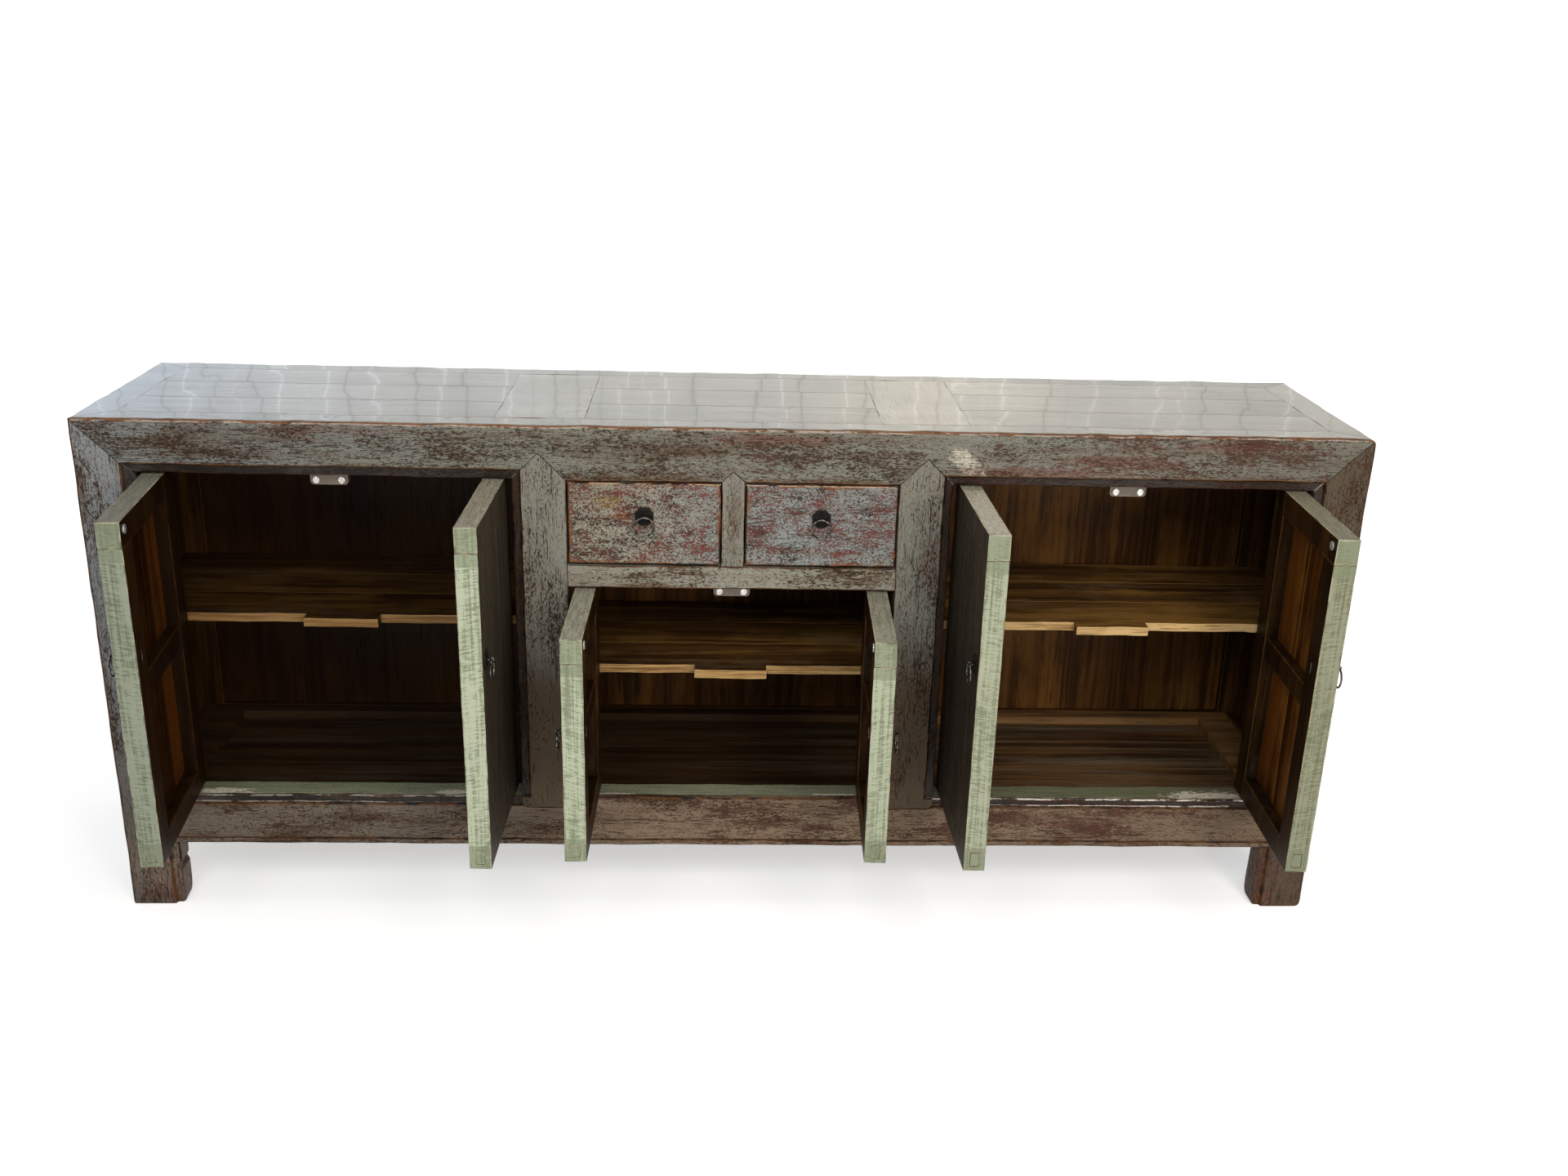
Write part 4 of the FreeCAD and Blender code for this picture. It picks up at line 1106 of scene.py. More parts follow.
        coat = mix.blend(mix.times(joint, self.joint_share), coat, GAP)
        # Painted glints: pale highlight spots on the arrises that look up and, fainter, on the joint lines.
        if any(self.glint_share):
            glints = mix.noise(self.drawn(mix, place, *self.glint_scale), 1.0, 5.0, 0.7)
            glints = mix.span(glints, 0.44, 0.53)
            caught = mix.maths("MAXIMUM", upper, mix.times(joint, 0.6))
            share = mix.span(x, -0.6, 0.5, *self.glint_share)
            coat = mix.blend(mix.times(caught, glints, share), coat, self.rim)
        lost = mix.maths("MAXIMUM", chips, grain.outputs["Pores"])
        height = mix.total(mix.times(lost, -0.8), mix.times(speckle, 0.4), mix.times(clouds, 1.2))
        self.dress(mix, surface, height, self.relief, {
            "Base Color": coat,
            "Roughness": mix.total(self.gloss, mix.times(lost, 0.25), mix.times(clouds, 0.10)),
            "Specular IOR Level": self.shine, "Coat Weight": self.coat, "Coat Roughness": self.coat_rough})
        return material


@dataclass(frozen=True)
class Gloss(Finish):
    """Thick clear gloss over grey lacquer on the top: wavy, crazed and scratched, with dark seams."""

    pale: Colour = (0.222, 0.218, 0.195)
    grey: Colour = (0.088, 0.090, 0.083)
    # cool and warm: painted light colour at the left end and to the right of the top.
    cool: Colour = (0.235, 0.275, 0.325)
    warm: Colour = (0.330, 0.300, 0.215)
    line: Colour = (0.035, 0.030, 0.025)
    bare: Colour = (0.150, 0.066, 0.025)
    seam: float = 0.0018
    rub_width: float = 0.0
    flaking: float = -0.16
    waves: float = 0.6
    greying: float = 0.75
    streak: Pair = (1.6, 44.0)
    pore: Pair = (9.0, 300.0)
    wave_scale: Triple = (9.0, 16.0, 9.0)
    gloss: float = 0.07
    coat: float = 0.6
    coat_rough: float = 0.04
    relief: float = 0.0010

    def build(self) -> bpy.types.Material:
        """Make the material.

        Returns:
            The glossy top.
        """
        material, mix, surface = self.start()
        place = self.place(mix)
        x = mix.axes(mix.here())[0]
        grain = self.grain_effect(mix, place, self.streak, self.pore)
        clouds = mix.noise(place, 3.2, 3.0, 0.6)
        # Painted light colour on the top: a cool tint at the left end and a warm one to the right.
        painted_light_tint = mix.blend(mix.span(x, -1.05, -0.70), self.cool, self.pale)
        painted_light_tint = mix.blend(mix.span(x, 0.05, 0.32), painted_light_tint, self.warm)
        painted_light_tint = mix.blend(mix.span(x, 0.45, 0.80, 0.0, 0.7), painted_light_tint, self.pale)
        coat = mix.blend(mix.span(clouds, 0.35, 0.75, 0.0, self.greying), painted_light_tint, self.grey)
        coat = mix.blend(mix.times(grain.outputs["Streaks"], 0.73 * self.greying), coat, self.grey)
        crazing = mix.effect(EFFECTS.crackle, place=self.drawn(mix, place, 5.0, 17.0)).outputs["Cracks"]
        lines = mix.maths("MAXIMUM", mix.times(crazing, 0.40), mix.times(grain.outputs["Pores"], 0.35))
        flakes = mix.effect(EFFECTS.flaking, chip_place=self.drawn(mix, place, 60.0, 190.0),
                            area_place=self.drawn(mix, place, 6.0, 14.0), bias=self.flaking,
                            bunching=0.6).outputs["Chips"]
        lines = mix.maths("MAXIMUM", lines, mix.times(flakes, 0.7))
        coat = mix.blend(lines, coat, self.line)
        coat = mix.blend(mix.times(self.rub(mix, place, self.seam), 0.75), coat, self.line)
        arris, joint, _ = self.arrises(mix)
        worn = mix.blend(mix.span(mix.noise(place, 30.0, 4.0), 0.48, 0.66), self.bare, self.line)
        if self.rub_width:
            arris = mix.maths("MAXIMUM", arris, self.rub(mix, place, self.rub_width))
        coat = mix.blend(mix.times(arris, 0.9), coat, worn)
        coat = mix.blend(mix.times(joint, 0.85), coat, self.line)
        ripples = mix.noise(mix.vector("MULTIPLY", place, self.wave_scale), 1.0, 2.0, 0.5)
        height = mix.total(mix.times(ripples, self.waves), mix.times(lines, -0.35))
        self.dress(mix, surface, height, self.relief, {
            "Base Color": coat,
            "Roughness": mix.total(self.gloss, mix.times(clouds, 0.08), mix.times(lines, 0.3)),
            "Coat Weight": self.coat, "Coat Roughness": self.coat_rough})
        return material


@dataclass(frozen=True)
class EdgePaint(Finish):
    """Pale green paint on the edges of the doors, hatched by the brush."""

    pale: Colour = (0.420, 0.452, 0.325)
    deep: Colour = (0.165, 0.188, 0.112)
    dirt: Colour = (0.070, 0.060, 0.038)
    worn: Colour = (0.420, 0.370, 0.250)
    shade: Colour = (0.020, 0.034, 0.030)
    warm_shade: Colour = (0.075, 0.062, 0.020)
    hatch: Triple = (60.0, 60.0, 620.0)
    slope: float = 0.22
    cross: Triple = (230.0, 230.0, 6.0)
    hatch_share: float = 0.85
    right_share: float = 0.55
    outer_shade: float = 0.50
    end_reach: float = 0.0
    stains: Tuple[Stain, ...] = ()
    gloss: float = 0.38
    shine: float = 0.25
    relief: float = 0.0006

    def build(self) -> bpy.types.Material:
        """Make the material.

        Returns:
            The painted edge.
        """
        material, mix, surface = self.start()
        place = self.place(mix)
        x, y, _ = mix.axes(mix.here())
        slanted = mix.node("Mapping")
        slanted.inputs["Rotation"].default_value[0] = self.slope
        mix.feed(slanted.inputs["Vector"], place)
        strokes = mix.noise(mix.vector("MULTIPLY", slanted.outputs[0], self.hatch), 1.0, 3.0, 0.6, 0.4)
        bands = mix.noise(mix.vector("MULTIPLY", place, self.cross), 1.0, 3.0, 0.6)
        clouds = mix.noise(place, 9.0, 4.0, 0.6)
        level = mix.total(mix.times(strokes, 0.50), mix.times(bands, 0.45), mix.times(clouds, 0.15))
        paint = mix.blend(mix.times(mix.span(level, 0.520, 0.610), self.hatch_share), self.pale, self.deep)
        paint = mix.blend(mix.span(clouds, 0.50, 0.80, 0.0, 0.4), paint, self.deep)
        paint = mix.blend(mix.span(x, -0.98, -0.55, self.outer_shade, 0.0), paint, self.shade)
        paint = mix.blend(mix.span(x, -0.10, 0.95, 0.0, self.right_share), paint, self.warm_shade)
        if self.end_reach:
            gaps = mix.vector("MINIMUM", mix.attribute("low_gap"), mix.attribute("high_gap"))
            ends = mix.span(mix.axes(gaps)[2], self.end_reach, self.end_reach * 1.06, 0.60, 0.0)
            paint = mix.blend(ends, paint, self.deep)
        paint = self.stained(mix, paint, place, x, y, self.stains)
        specks = mix.span(mix.noise(place, 210.0, 2.0), 0.68, 0.75)
        paint = mix.blend(mix.times(specks, 0.7), paint, self.dirt)
        rub = self.rub(mix, place, 0.0018)
        edge = mix.maths("MAXIMUM", mix.times(rub, 0.55), mix.times(self.arrises(mix)[0], 0.75))
        worn = mix.blend(mix.span(mix.noise(place, 40.0, 4.0), 0.42, 0.62), self.worn, self.dirt)
        height = mix.total(mix.times(level, -1.0), mix.times(clouds, 0.5))
        self.dress(mix, surface, height, self.relief, {
            "Base Color": mix.blend(edge, paint, worn), "Roughness": mix.total(self.gloss, mix.times(level, 0.3)),
            "Specular IOR Level": self.shine})
        return material


@dataclass(frozen=True)
class Varnish(Finish):
    """Brown varnish on old softwood: long dark streaks, amber where it is thin, dull with dust in places."""

    dark: Colour = (0.020, 0.0085, 0.0028)
    brown: Colour = (0.074, 0.030, 0.0078)
    amber: Colour = (0.190, 0.084, 0.019)
    dust: Colour = (0.190, 0.160, 0.120)
    shade: Colour = (0.011, 0.0042, 0.0013)
    turn: Pair = (-0.65, 0.10)
    strip: Colour = (0.098, 0.030, 0.0045)
    strip_share: float = 0.0
    strip_reach: Pair = (0.092, 0.112)
    amber_share: float = 0.50
    dust_share: float = 0.10
    dust_level: float = 0.58
    dust_scale: Pair = (7.0, 16.0)
    left_shade: float = 0.55
    edge_share: float = 0.55
    streak: Pair = (1.5, 46.0)
    gloss: float = 0.36
    shine: float = 0.10
    pore: Pair = (16.0, 430.0)
    figure_scale: Pair = (2.6, 24.0)
    rub_width: float = 0.0014
    relief: float = 0.0007

    def build(self) -> bpy.types.Material:
        """Make the material.

        Returns:
            The varnished wood.
        """
        material, mix, surface = self.start()
        place = self.place(mix)
        x = mix.axes(mix.here())[0]
        grain = self.grain_effect(mix, place, self.streak, self.pore)
        clouds = mix.noise(place, 5.0, 4.0, 0.6)
        figure = mix.noise(self.drawn(mix, place, *self.figure_scale), 1.0, 3.0, 0.6, 0.8)
        tone = mix.total(mix.times(grain.outputs["Streaks"], 0.55), mix.times(clouds, 0.45))
        wood = mix.blend(mix.span(tone, 0.3, 0.7), self.dark, self.brown)
        board = mix.attribute("board", "Fac")
        amber = mix.total(mix.times(figure, 0.6), mix.times(clouds, 0.4), mix.times(board, 0.10))
        wood = mix.blend(mix.times(mix.span(amber, 0.5, 0.68), self.amber_share), wood, self.amber)
        wood = mix.blend(mix.times(grain.outputs["Pores"], 0.7), wood, self.dark)
        scuffs = mix.noise(self.drawn(mix, place, *self.dust_scale), 1.0, 6.0, 0.72)
        scuffs = mix.span(scuffs, self.dust_level, self.dust_level + 0.17)
        wood = mix.blend(mix.times(scuffs, self.dust_share), wood, self.dust)
        edge = mix.maths("MAXIMUM", mix.times(self.rub(mix, place, self.rub_width), self.edge_share * 0.9),
                         mix.times(self.arrises(mix)[0], self.edge_share))
        wood = mix.blend(edge, wood, self.amber)
        wood = mix.blend(mix.span(x, *self.turn, self.left_shade, 0.0), wood, self.shade)
        if self.strip_share:
            from_hinge = mix.axes(mix.attribute("place"))[0]
            strip = mix.span(from_hinge, *self.strip_reach, self.strip_share, 0.0)
            wood = mix.blend(mix.times(strip, mix.span(tone, 0.3, 0.6, 0.3, 1.0)), wood, self.strip)
        pores = mix.times(grain.outputs["Pores"], -0.5)
        height = mix.total(pores, mix.times(figure, 0.5), mix.times(clouds, 0.6))
        self.dress(mix, surface, height, self.relief, {
            "Base Color": wood,
            "Roughness": mix.total(self.gloss, mix.times(clouds, 0.12), mix.times(scuffs, 0.25)),
            "Specular IOR Level": self.shine})
        return material


@dataclass(frozen=True)
class Metal(Finish):
    """Iron or steel, with a skin of rust and rubbed bright spots."""

    skin: Colour = (0.022, 0.019, 0.015)
    bright: Colour = (0.130, 0.120, 0.102)
    rust: Colour = (0.040, 0.020, 0.010)
    rough: float = 0.36
    metallic: float = 0.85
    shine: float = 0.5
    scale: float = 160.0
    relief: float = 0.0003

    def build(self) -> bpy.types.Material:
        """Make the material.

        Returns:
            The metal.
        """
        material, mix, surface = self.start()
        place = self.place(mix)
        mottle = mix.noise(place, self.scale, 4.0, 0.65)
        patches = mix.noise(place, self.scale * 0.4, 3.0, 0.6)
        tone = mix.blend(mix.span(mottle, 0.42, 0.68), self.skin, self.bright)
        tone = mix.blend(mix.times(mix.span(patches, 0.52, 0.7), 0.5), tone, self.rust)
        tone = mix.blend(mix.times(self.arrises(mix)[0], 0.4), tone, self.bright)
        self.dress(mix, surface, mottle, self.relief, {
            "Base Color": tone, "Metallic": self.metallic, "Specular IOR Level": self.shine,
            "Roughness": mix.total(self.rough - 0.1, mix.times(mottle, 0.25))})
        return material


@dataclass(frozen=True)
class Moulded(Finish):
    """Brown moulded plastic of the catches, with a fine matt texture."""

    body: Colour = (0.250, 0.192, 0.142)
    shade: Colour = (0.080, 0.056, 0.039)
    cloud_scale: float = 60.0
    pit_scale: float = 1500.0
    gloss: float = 0.34
    relief: float = 0.0001

    def build(self) -> bpy.types.Material:
        """Make the material.

        Returns:
            The plastic.
        """
        material, mix, surface = self.start()
        place = self.place(mix)
        clouds = mix.noise(place, self.cloud_scale, 3.0, 0.6)
        pits = mix.noise(place, self.pit_scale, 2.0, 0.5)
        self.dress(mix, surface, pits, self.relief, {
            "Base Color": mix.blend(clouds, self.body, self.shade),
            "Roughness": mix.total(self.gloss, mix.times(pits, 0.2))})
        return material


WHITE = (1.0, 1.0, 1.0)
BLACK = (0.0, 0.0, 0.0)
GAP = (0.012, 0.008, 0.006)
CREAM = (0.470, 0.420, 0.330)
CRIMSON = (0.230, 0.055, 0.045)
OCHRE = (0.250, 0.185, 0.060)
RUST = (0.270, 0.105, 0.035)
MAROON = (0.130, 0.045, 0.034)
UMBER = (0.085, 0.050, 0.026)
CLAY = (0.120, 0.072, 0.054)
SAND = (0.215, 0.150, 0.113)
# Pale worn paint, painted brighter than its own colour, as a highlight of direct light.
LIT_PALE_WEAR = (0.850, 0.740, 0.590)
PLASTER = (0.560, 0.505, 0.405)

RAIL_STAINS_AND_GAP_SHADE = (
    # Dark lines along the tops of the drawer openings: brown staining, and painted shade that widens the gap
    # above the drawers.
    Stain(-0.140, 0.776, 0.150, 0.007, UMBER, 0.85),
    Stain(0.140, 0.776, 0.150, 0.007, UMBER, 0.85),
    Stain(-0.790, 0.834, 0.150, 0.026, UMBER, 0.60),
    Stain(-0.130, 0.824, 0.190, 0.026, UMBER, 0.50),
    Stain(0.357, 0.820, 0.018, 0.016, PLASTER, 0.85),
    Stain(0.372, 0.806, 0.022, 0.018, PLASTER, 0.95),
    Stain(0.388, 0.791, 0.022, 0.014, PLASTER, 1.0),
    Stain(0.060, 0.842, 0.110, 0.012, MAROON, 0.8),
    Stain(0.500, 0.796, 0.170, 0.012, MAROON, 0.85),
    Stain(0.800, 0.842, 0.140, 0.010, MAROON, 0.75),
    Stain(0.620, 0.815, 0.120, 0.014, MAROON, 0.8),
    Stain(-0.620, 0.846, 0.150, 0.008, MAROON, 0.5),
)
UPRIGHT_STAINS = (
    Stain(-0.965, 0.030, 0.045, 0.030, MAROON, 0.6),
    Stain(-0.960, 0.080, 0.070, 0.060, SAND, 0.8),
    Stain(0.965, 0.060, 0.070, 0.090, CLAY, 0.8),
    Stain(0.955, 0.018, 0.020, 0.014, CRIMSON, 0.3),
    Stain(0.325, 0.640, 0.026, 0.050, MAROON, 0.45),
    Stain(0.000, 0.703, 0.006, 0.007, UMBER, 0.9),
    Stain(0.002, 0.722, 0.014, 0.050, UMBER, 0.7),
    Stain(-0.002, 0.672, 0.012, 0.030, UMBER, 0.5),
)
DRAWER_STAINS = (
    Stain(-0.197, 0.737, 0.026, 0.014, OCHRE, 0.9),
    Stain(-0.176, 0.714, 0.018, 0.008, RUST, 0.95),
)
# Painted light and shade on the door tops: the right inner door's top lighter, the left doors' tops darker.
DOOR_TOP_LIGHT_AND_SHADE = (
    Stain(0.395, -0.220, 0.060, 0.160, CREAM, 0.75),
    Stain(-0.395, -0.220, 0.060, 0.160, UMBER, 0.50),
    Stain(-0.910, -0.220, 0.060, 0.160, UMBER, 0.25),
)
# Pale worn spots on the ledge, painted bright as if in direct light, and one umber stain.
LEDGE_WEAR_AND_HIGHLIGHTS = (
    Stain(-0.850, -0.070, 0.050, 0.012, LIT_PALE_WEAR, 0.95),
    Stain(-0.470, -0.070, 0.035, 0.011, LIT_PALE_WEAR, 0.95),
    Stain(-0.195, -0.077, 0.040, 0.010, LIT_PALE_WEAR, 0.80),
    Stain(0.180, -0.076, 0.055, 0.010, LIT_PALE_WEAR, 1.0),
    Stain(0.835, -0.070, 0.080, 0.022, LIT_PALE_WEAR, 1.0),
    Stain(0.430, -0.070, 0.030, 0.010, UMBER, 0.80),
)


# Dark bead; its pale rim colour is a painted glint along its upper arris, fainter to the left.
BEAD = dict(cool=(0.034, 0.026, 0.020), warm=(0.036, 0.024, 0.017), thin=(0.018, 0.012, 0.008),
            ground=(0.060, 0.022, 0.015), dark=GAP, bare=(0.060, 0.027, 0.012), rim=(0.800, 0.720, 0.630),
            gloss=0.18, shine=0.16, coat=0.05, glint_share=(0.30, 0.72))
PLAIN = dict(dark=(0.060, 0.036, 0.020), brown=(0.130, 0.080, 0.043), amber=(0.190, 0.118, 0.060),
             dust_share=0.2, left_shade=0.0, gloss=0.6)
KINDS: Dict[str, Finish] = {finish.name: finish for finish in (
    # Rails: the pale rim colour paints glints on their arrises that look up, such as the white line under the top
    # rail's brown front arris.
    Lacquer("lacquer_rails", rub_width=0.0030, patch_share=0.36, bare=(0.165, 0.074, 0.031),
            arris_dark=0.50, glint_share=(0.40, 0.40), right_shade=0.24, stains=RAIL_STAINS_AND_GAP_SHADE),
    Lacquer("lacquer_uprights", Grain.UPRIGHT, cool=(0.245, 0.258, 0.262), warm=(0.205, 0.202, 0.166),
            turn=(-0.95, -0.45), red_right=0.6, flaking=0.006, patch_level=0.55, patch_share=0.50,
            lower=(0.078, 0.056, 0.034), low_shade=0.75, right_shade=0.88, stains=UPRIGHT_STAINS),
    Lacquer("lacquer_stiles", Grain.UPRIGHT, cool=(0.222, 0.226, 0.192), warm=(0.230, 0.228, 0.190),
            thinning=0.22, turn=(-0.95, -0.45), red_right=0.6, flaking=-0.012, patch_level=0.57,
            patch_share=0.14, lower=(0.102, 0.071, 0.043), low_shade=0.95, low_range=(0.38, 0.54),
            stains=UPRIGHT_STAINS),
    Lacquer("lacquer_ends", Grain.BACKWARD),
    Lacquer("lacquer_drawer_rail", warm=(0.278, 0.272, 0.222), cool=(0.278, 0.272, 0.222),
            thin=(0.140, 0.090, 0.052), flaking=0.0, patch_level=0.55, rub_width=0.0026),
    Lacquer("lacquer_base_rail", warm=(0.232, 0.163, 0.109), cool=(0.152, 0.122, 0.096),
            thin=(0.090, 0.055, 0.034), turn=(-0.6, 0.1), red_left=0.40, red_right=0.75, right_shade=0.25),
    Lacquer("lacquer_bead", **BEAD),
    Lacquer("lacquer_bead_upright", Grain.UPRIGHT, **BEAD),
    # Drawer fronts: the pale rim colour paints a highlight along the top edge, and the low arris darkness paints
    # the arrises mostly dark, as painted shade that widens the gap round each drawer.
    Lacquer("lacquer_drawers", cool=(0.315, 0.305, 0.246), warm=(0.262, 0.300, 0.290), turn=(-0.20, 0.02),
            thin=(0.150, 0.090, 0.056), ground=(0.175, 0.040, 0.031), dark=(0.034, 0.013, 0.009),
            bare=(0.230, 0.092, 0.030), rim=(0.640, 0.440, 0.290), glint_share=(0.9, 0.9), flaking=0.052,
            arris_dark=0.30, red_left=0.44, red_right=0.74, red_scale=24.0, patch_level=0.555,
            patch_share=0.30, red_chips=0.95, rub_width=0.0042, stains=DRAWER_STAINS,
            chip_scale=(165.0, 270.0), fleck_scale=(290.0, 425.0), cluster=(22.0, 46.0), bunching=0.26,
            pores=0.7),
    # Doors' outer faces: dark, partly their own lacquer and partly painted shade.
    Lacquer("lacquer_door_outside", Grain.UPRIGHT, Placing.HUNG, cool=(0.048, 0.041, 0.030),
            warm=(0.048, 0.039, 0.027), thin=(0.020, 0.014, 0.008), ground=(0.030, 0.015, 0.009),
            dark=(0.012, 0.008, 0.005), bare=(0.075, 0.036, 0.014), flaking=-0.10, shine=0.09, gloss=0.45,
            patch_level=0.50, cluster=(2.2, 55.0)),
    Gloss("top_boards_gloss"),
    Gloss("top_ends_gloss", Grain.BACKWARD, greying=0.40),
    # Cross rails: a stronger painted warm light tint.
    Gloss("top_cross_gloss", Grain.BACKWARD, pale=(0.232, 0.226, 0.198), warm=(0.380, 0.340, 0.245),
          greying=0.45),
    Gloss("top_rail_gloss", flaking=-0.03, rub_width=0.0050, seam=0.0012),
    EdgePaint("door_edge_paint", Grain.UPRIGHT, Placing.HUNG, end_reach=0.039),
    EdgePaint("door_top_paint", Grain.ACROSS, Placing.HUNG, pale=(0.290, 0.272, 0.205),
              deep=(0.130, 0.122, 0.088), hatch=(24.0, 300.0, 300.0), hatch_share=0.75,
              stains=DOOR_TOP_LIGHT_AND_SHADE),
    EdgePaint("ledge_paint", pale=(0.250, 0.262, 0.165), deep=(0.115, 0.128, 0.076),
              hatch=(12.0, 260.0, 260.0), hatch_share=0.6, outer_shade=0.2, stains=LEDGE_WEAR_AND_HIGHLIGHTS),
    Varnish("varnish_lengthwise"),
    Varnish("varnish_shelf", dark=(0.036, 0.016, 0.0045), brown=(0.095, 0.043, 0.0110),
            amber=(0.300, 0.152, 0.036), amber_share=0.65, dust=(0.150, 0.110, 0.070), dust_share=0.35,
            dust_level=0.50, left_shade=0.70, streak=(1.2, 60.0)),
    Varnish("varnish_upright", Grain.UPRIGHT),
    Varnish("varnish_back", Grain.UPRIGHT, dark=(0.034, 0.0132, 0.0034), brown=(0.086, 0.0340, 0.0084),
            amber=(0.215, 0.095, 0.020), left_shade=0.86, edge_share=0.0, streak=(2.0, 95.0)),
    Varnish("varnish_backward", Grain.BACKWARD),
    Varnish("varnish_floor", dark=(0.036, 0.017, 0.0065), brown=(0.120, 0.062, 0.024),
            dust=(0.150, 0.116, 0.076), dust_share=0.70, dust_level=0.46, dust_scale=(2.0, 34.0),
            amber_share=0.15, turn=(0.05, 0.45), left_shade=0.78, shine=0.2),
    Varnish("varnish_cleat", dark=(0.070, 0.036, 0.014), brown=(0.230, 0.130, 0.056), dust_share=0.3,
            turn=(0.05, 0.45), left_shade=0.88, shine=0.2),
    Varnish("varnish_door_frame", Grain.UPRIGHT, Placing.HUNG, dark=(0.008, 0.0038, 0.0015),
            brown=(0.016, 0.0072, 0.0025), amber_share=0.14, left_shade=0.60, edge_share=0.4, shine=0.06),
    Varnish("varnish_door_panel", Grain.UPRIGHT, Placing.HUNG, dark=(0.026, 0.0080, 0.0016),
            brown=(0.085, 0.0280, 0.0050), amber=(0.280, 0.112, 0.020), shade=(0.0075, 0.0020, 0.0004),
            left_shade=0.84, strip_share=0.75, shine=0.05),
    Varnish("shelf_edge", dark=(0.175, 0.088, 0.027), brown=(0.445, 0.272, 0.103),
            amber=(0.665, 0.450, 0.210), dust_share=0.0, amber_share=0.6, left_shade=0.64, gloss=0.4,
            shade=(0.150, 0.070, 0.022), turn=(-0.65, -0.15), streak=(4.0, 150.0)),
    Varnish("plain_wood", **PLAIN),
    Varnish("plain_wood_upright", Grain.UPRIGHT, **PLAIN),
    Varnish("plain_wood_backward", Grain.BACKWARD, **PLAIN),
    Metal("plate_iron", skin=(0.006, 0.0055, 0.005), bright=(0.020, 0.018, 0.016),
          rust=(0.012, 0.009, 0.006), metallic=0.08, rough=0.50, shine=0.05),
    Metal("ring_iron", skin=(0.012, 0.011, 0.009), bright=(0.200, 0.185, 0.160), rust=(0.020, 0.014, 0.010),
          rough=0.26),
    Metal("steel", skin=(0.520, 0.510, 0.480), bright=(0.880, 0.860, 0.820), rust=(0.260, 0.220, 0.180),
          metallic=0.70, rough=0.28),
    Moulded("catch_plastic_brown"),
)}


class Finishes:
    """All finishes of the sideboard, each made once, when it is first asked for."""

    def __init__(self) -> None:
        """Start with nothing made."""
        self.made: Dict[str, bpy.types.Material] = {}

    def get(self, name: str) -> bpy.types.Material:
        """Find a finish, or make it when it is first asked for.

        Args:
            name: the name of the finish.

        Returns:
            Its material.
        """
        if name not in self.made:
            self.made[name] = KINDS[name].build()
        return self.made[name]

    def lay_on(self, piece: Piece, names: Sequence[str], rule: Optional[FaceRule] = None,
               to_bench: Matrix = Matrix.Identity(4)) -> None:
        """Give each face of a piece its finish.

        Args:
            piece: the piece to dress.
            names: the finishes used on it.
            rule: says from a face's centre and normal which of them it gets; without it, the first.
            to_bench: turns the piece into the frame in which the rule is written.
        """
        for name in names:
            piece.data.materials.append(self.get(name))
        if rule is None:
            return
        turn = to_bench.to_3x3()
        for polygon in piece.data.polygons:
            polygon.material_index = rule(to_bench @ polygon.center, (turn @ polygon.normal).normalized())


FINISHES = Finishes()


@dataclass
class Work:
    """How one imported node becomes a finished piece."""

    node: str
    prefix: str
    body: str
    slot: str
    finishes: Sequence[str]
    rule: Optional[FaceRule] = None
    arris: float = 0.0008
    run: Optional[Grain] = None
    to_bench: Matrix = Matrix.Identity(4)
    wave: float = 0.0030
    across: Optional[Grain] = None
    heads: bool = False

    def start(self) -> Piece:
        """Copy the node, with its seams shut where it has any.

        Returns:
            The copy.
        """
        piece = worn_copy(self.node, self.prefix + self.node)
        if self.across is not None:
            close_seams(piece, self.across)
        return piece

    def finish(self, piece: Piece) -> None:
        """Soften, plane, dress and hang the copy.

        Args:
            piece: the copy, shaped.
        """
        soften(piece, self.arris)
        if self.run is not None:
            ripple(piece, self.run, self.wave)
        shade(piece)
        mark_boards(piece, self.to_bench)
        FINISHES.lay_on(piece, self.finishes, self.rule, self.to_bench)
        hand_over(piece, self.body, [self.node])

    def build(self) -> None:
        """Make the whole piece, with its upper outer arrises rounded where it has them."""
        piece = self.start()
        if self.heads:
            round_heads(piece)
        self.finish(piece)


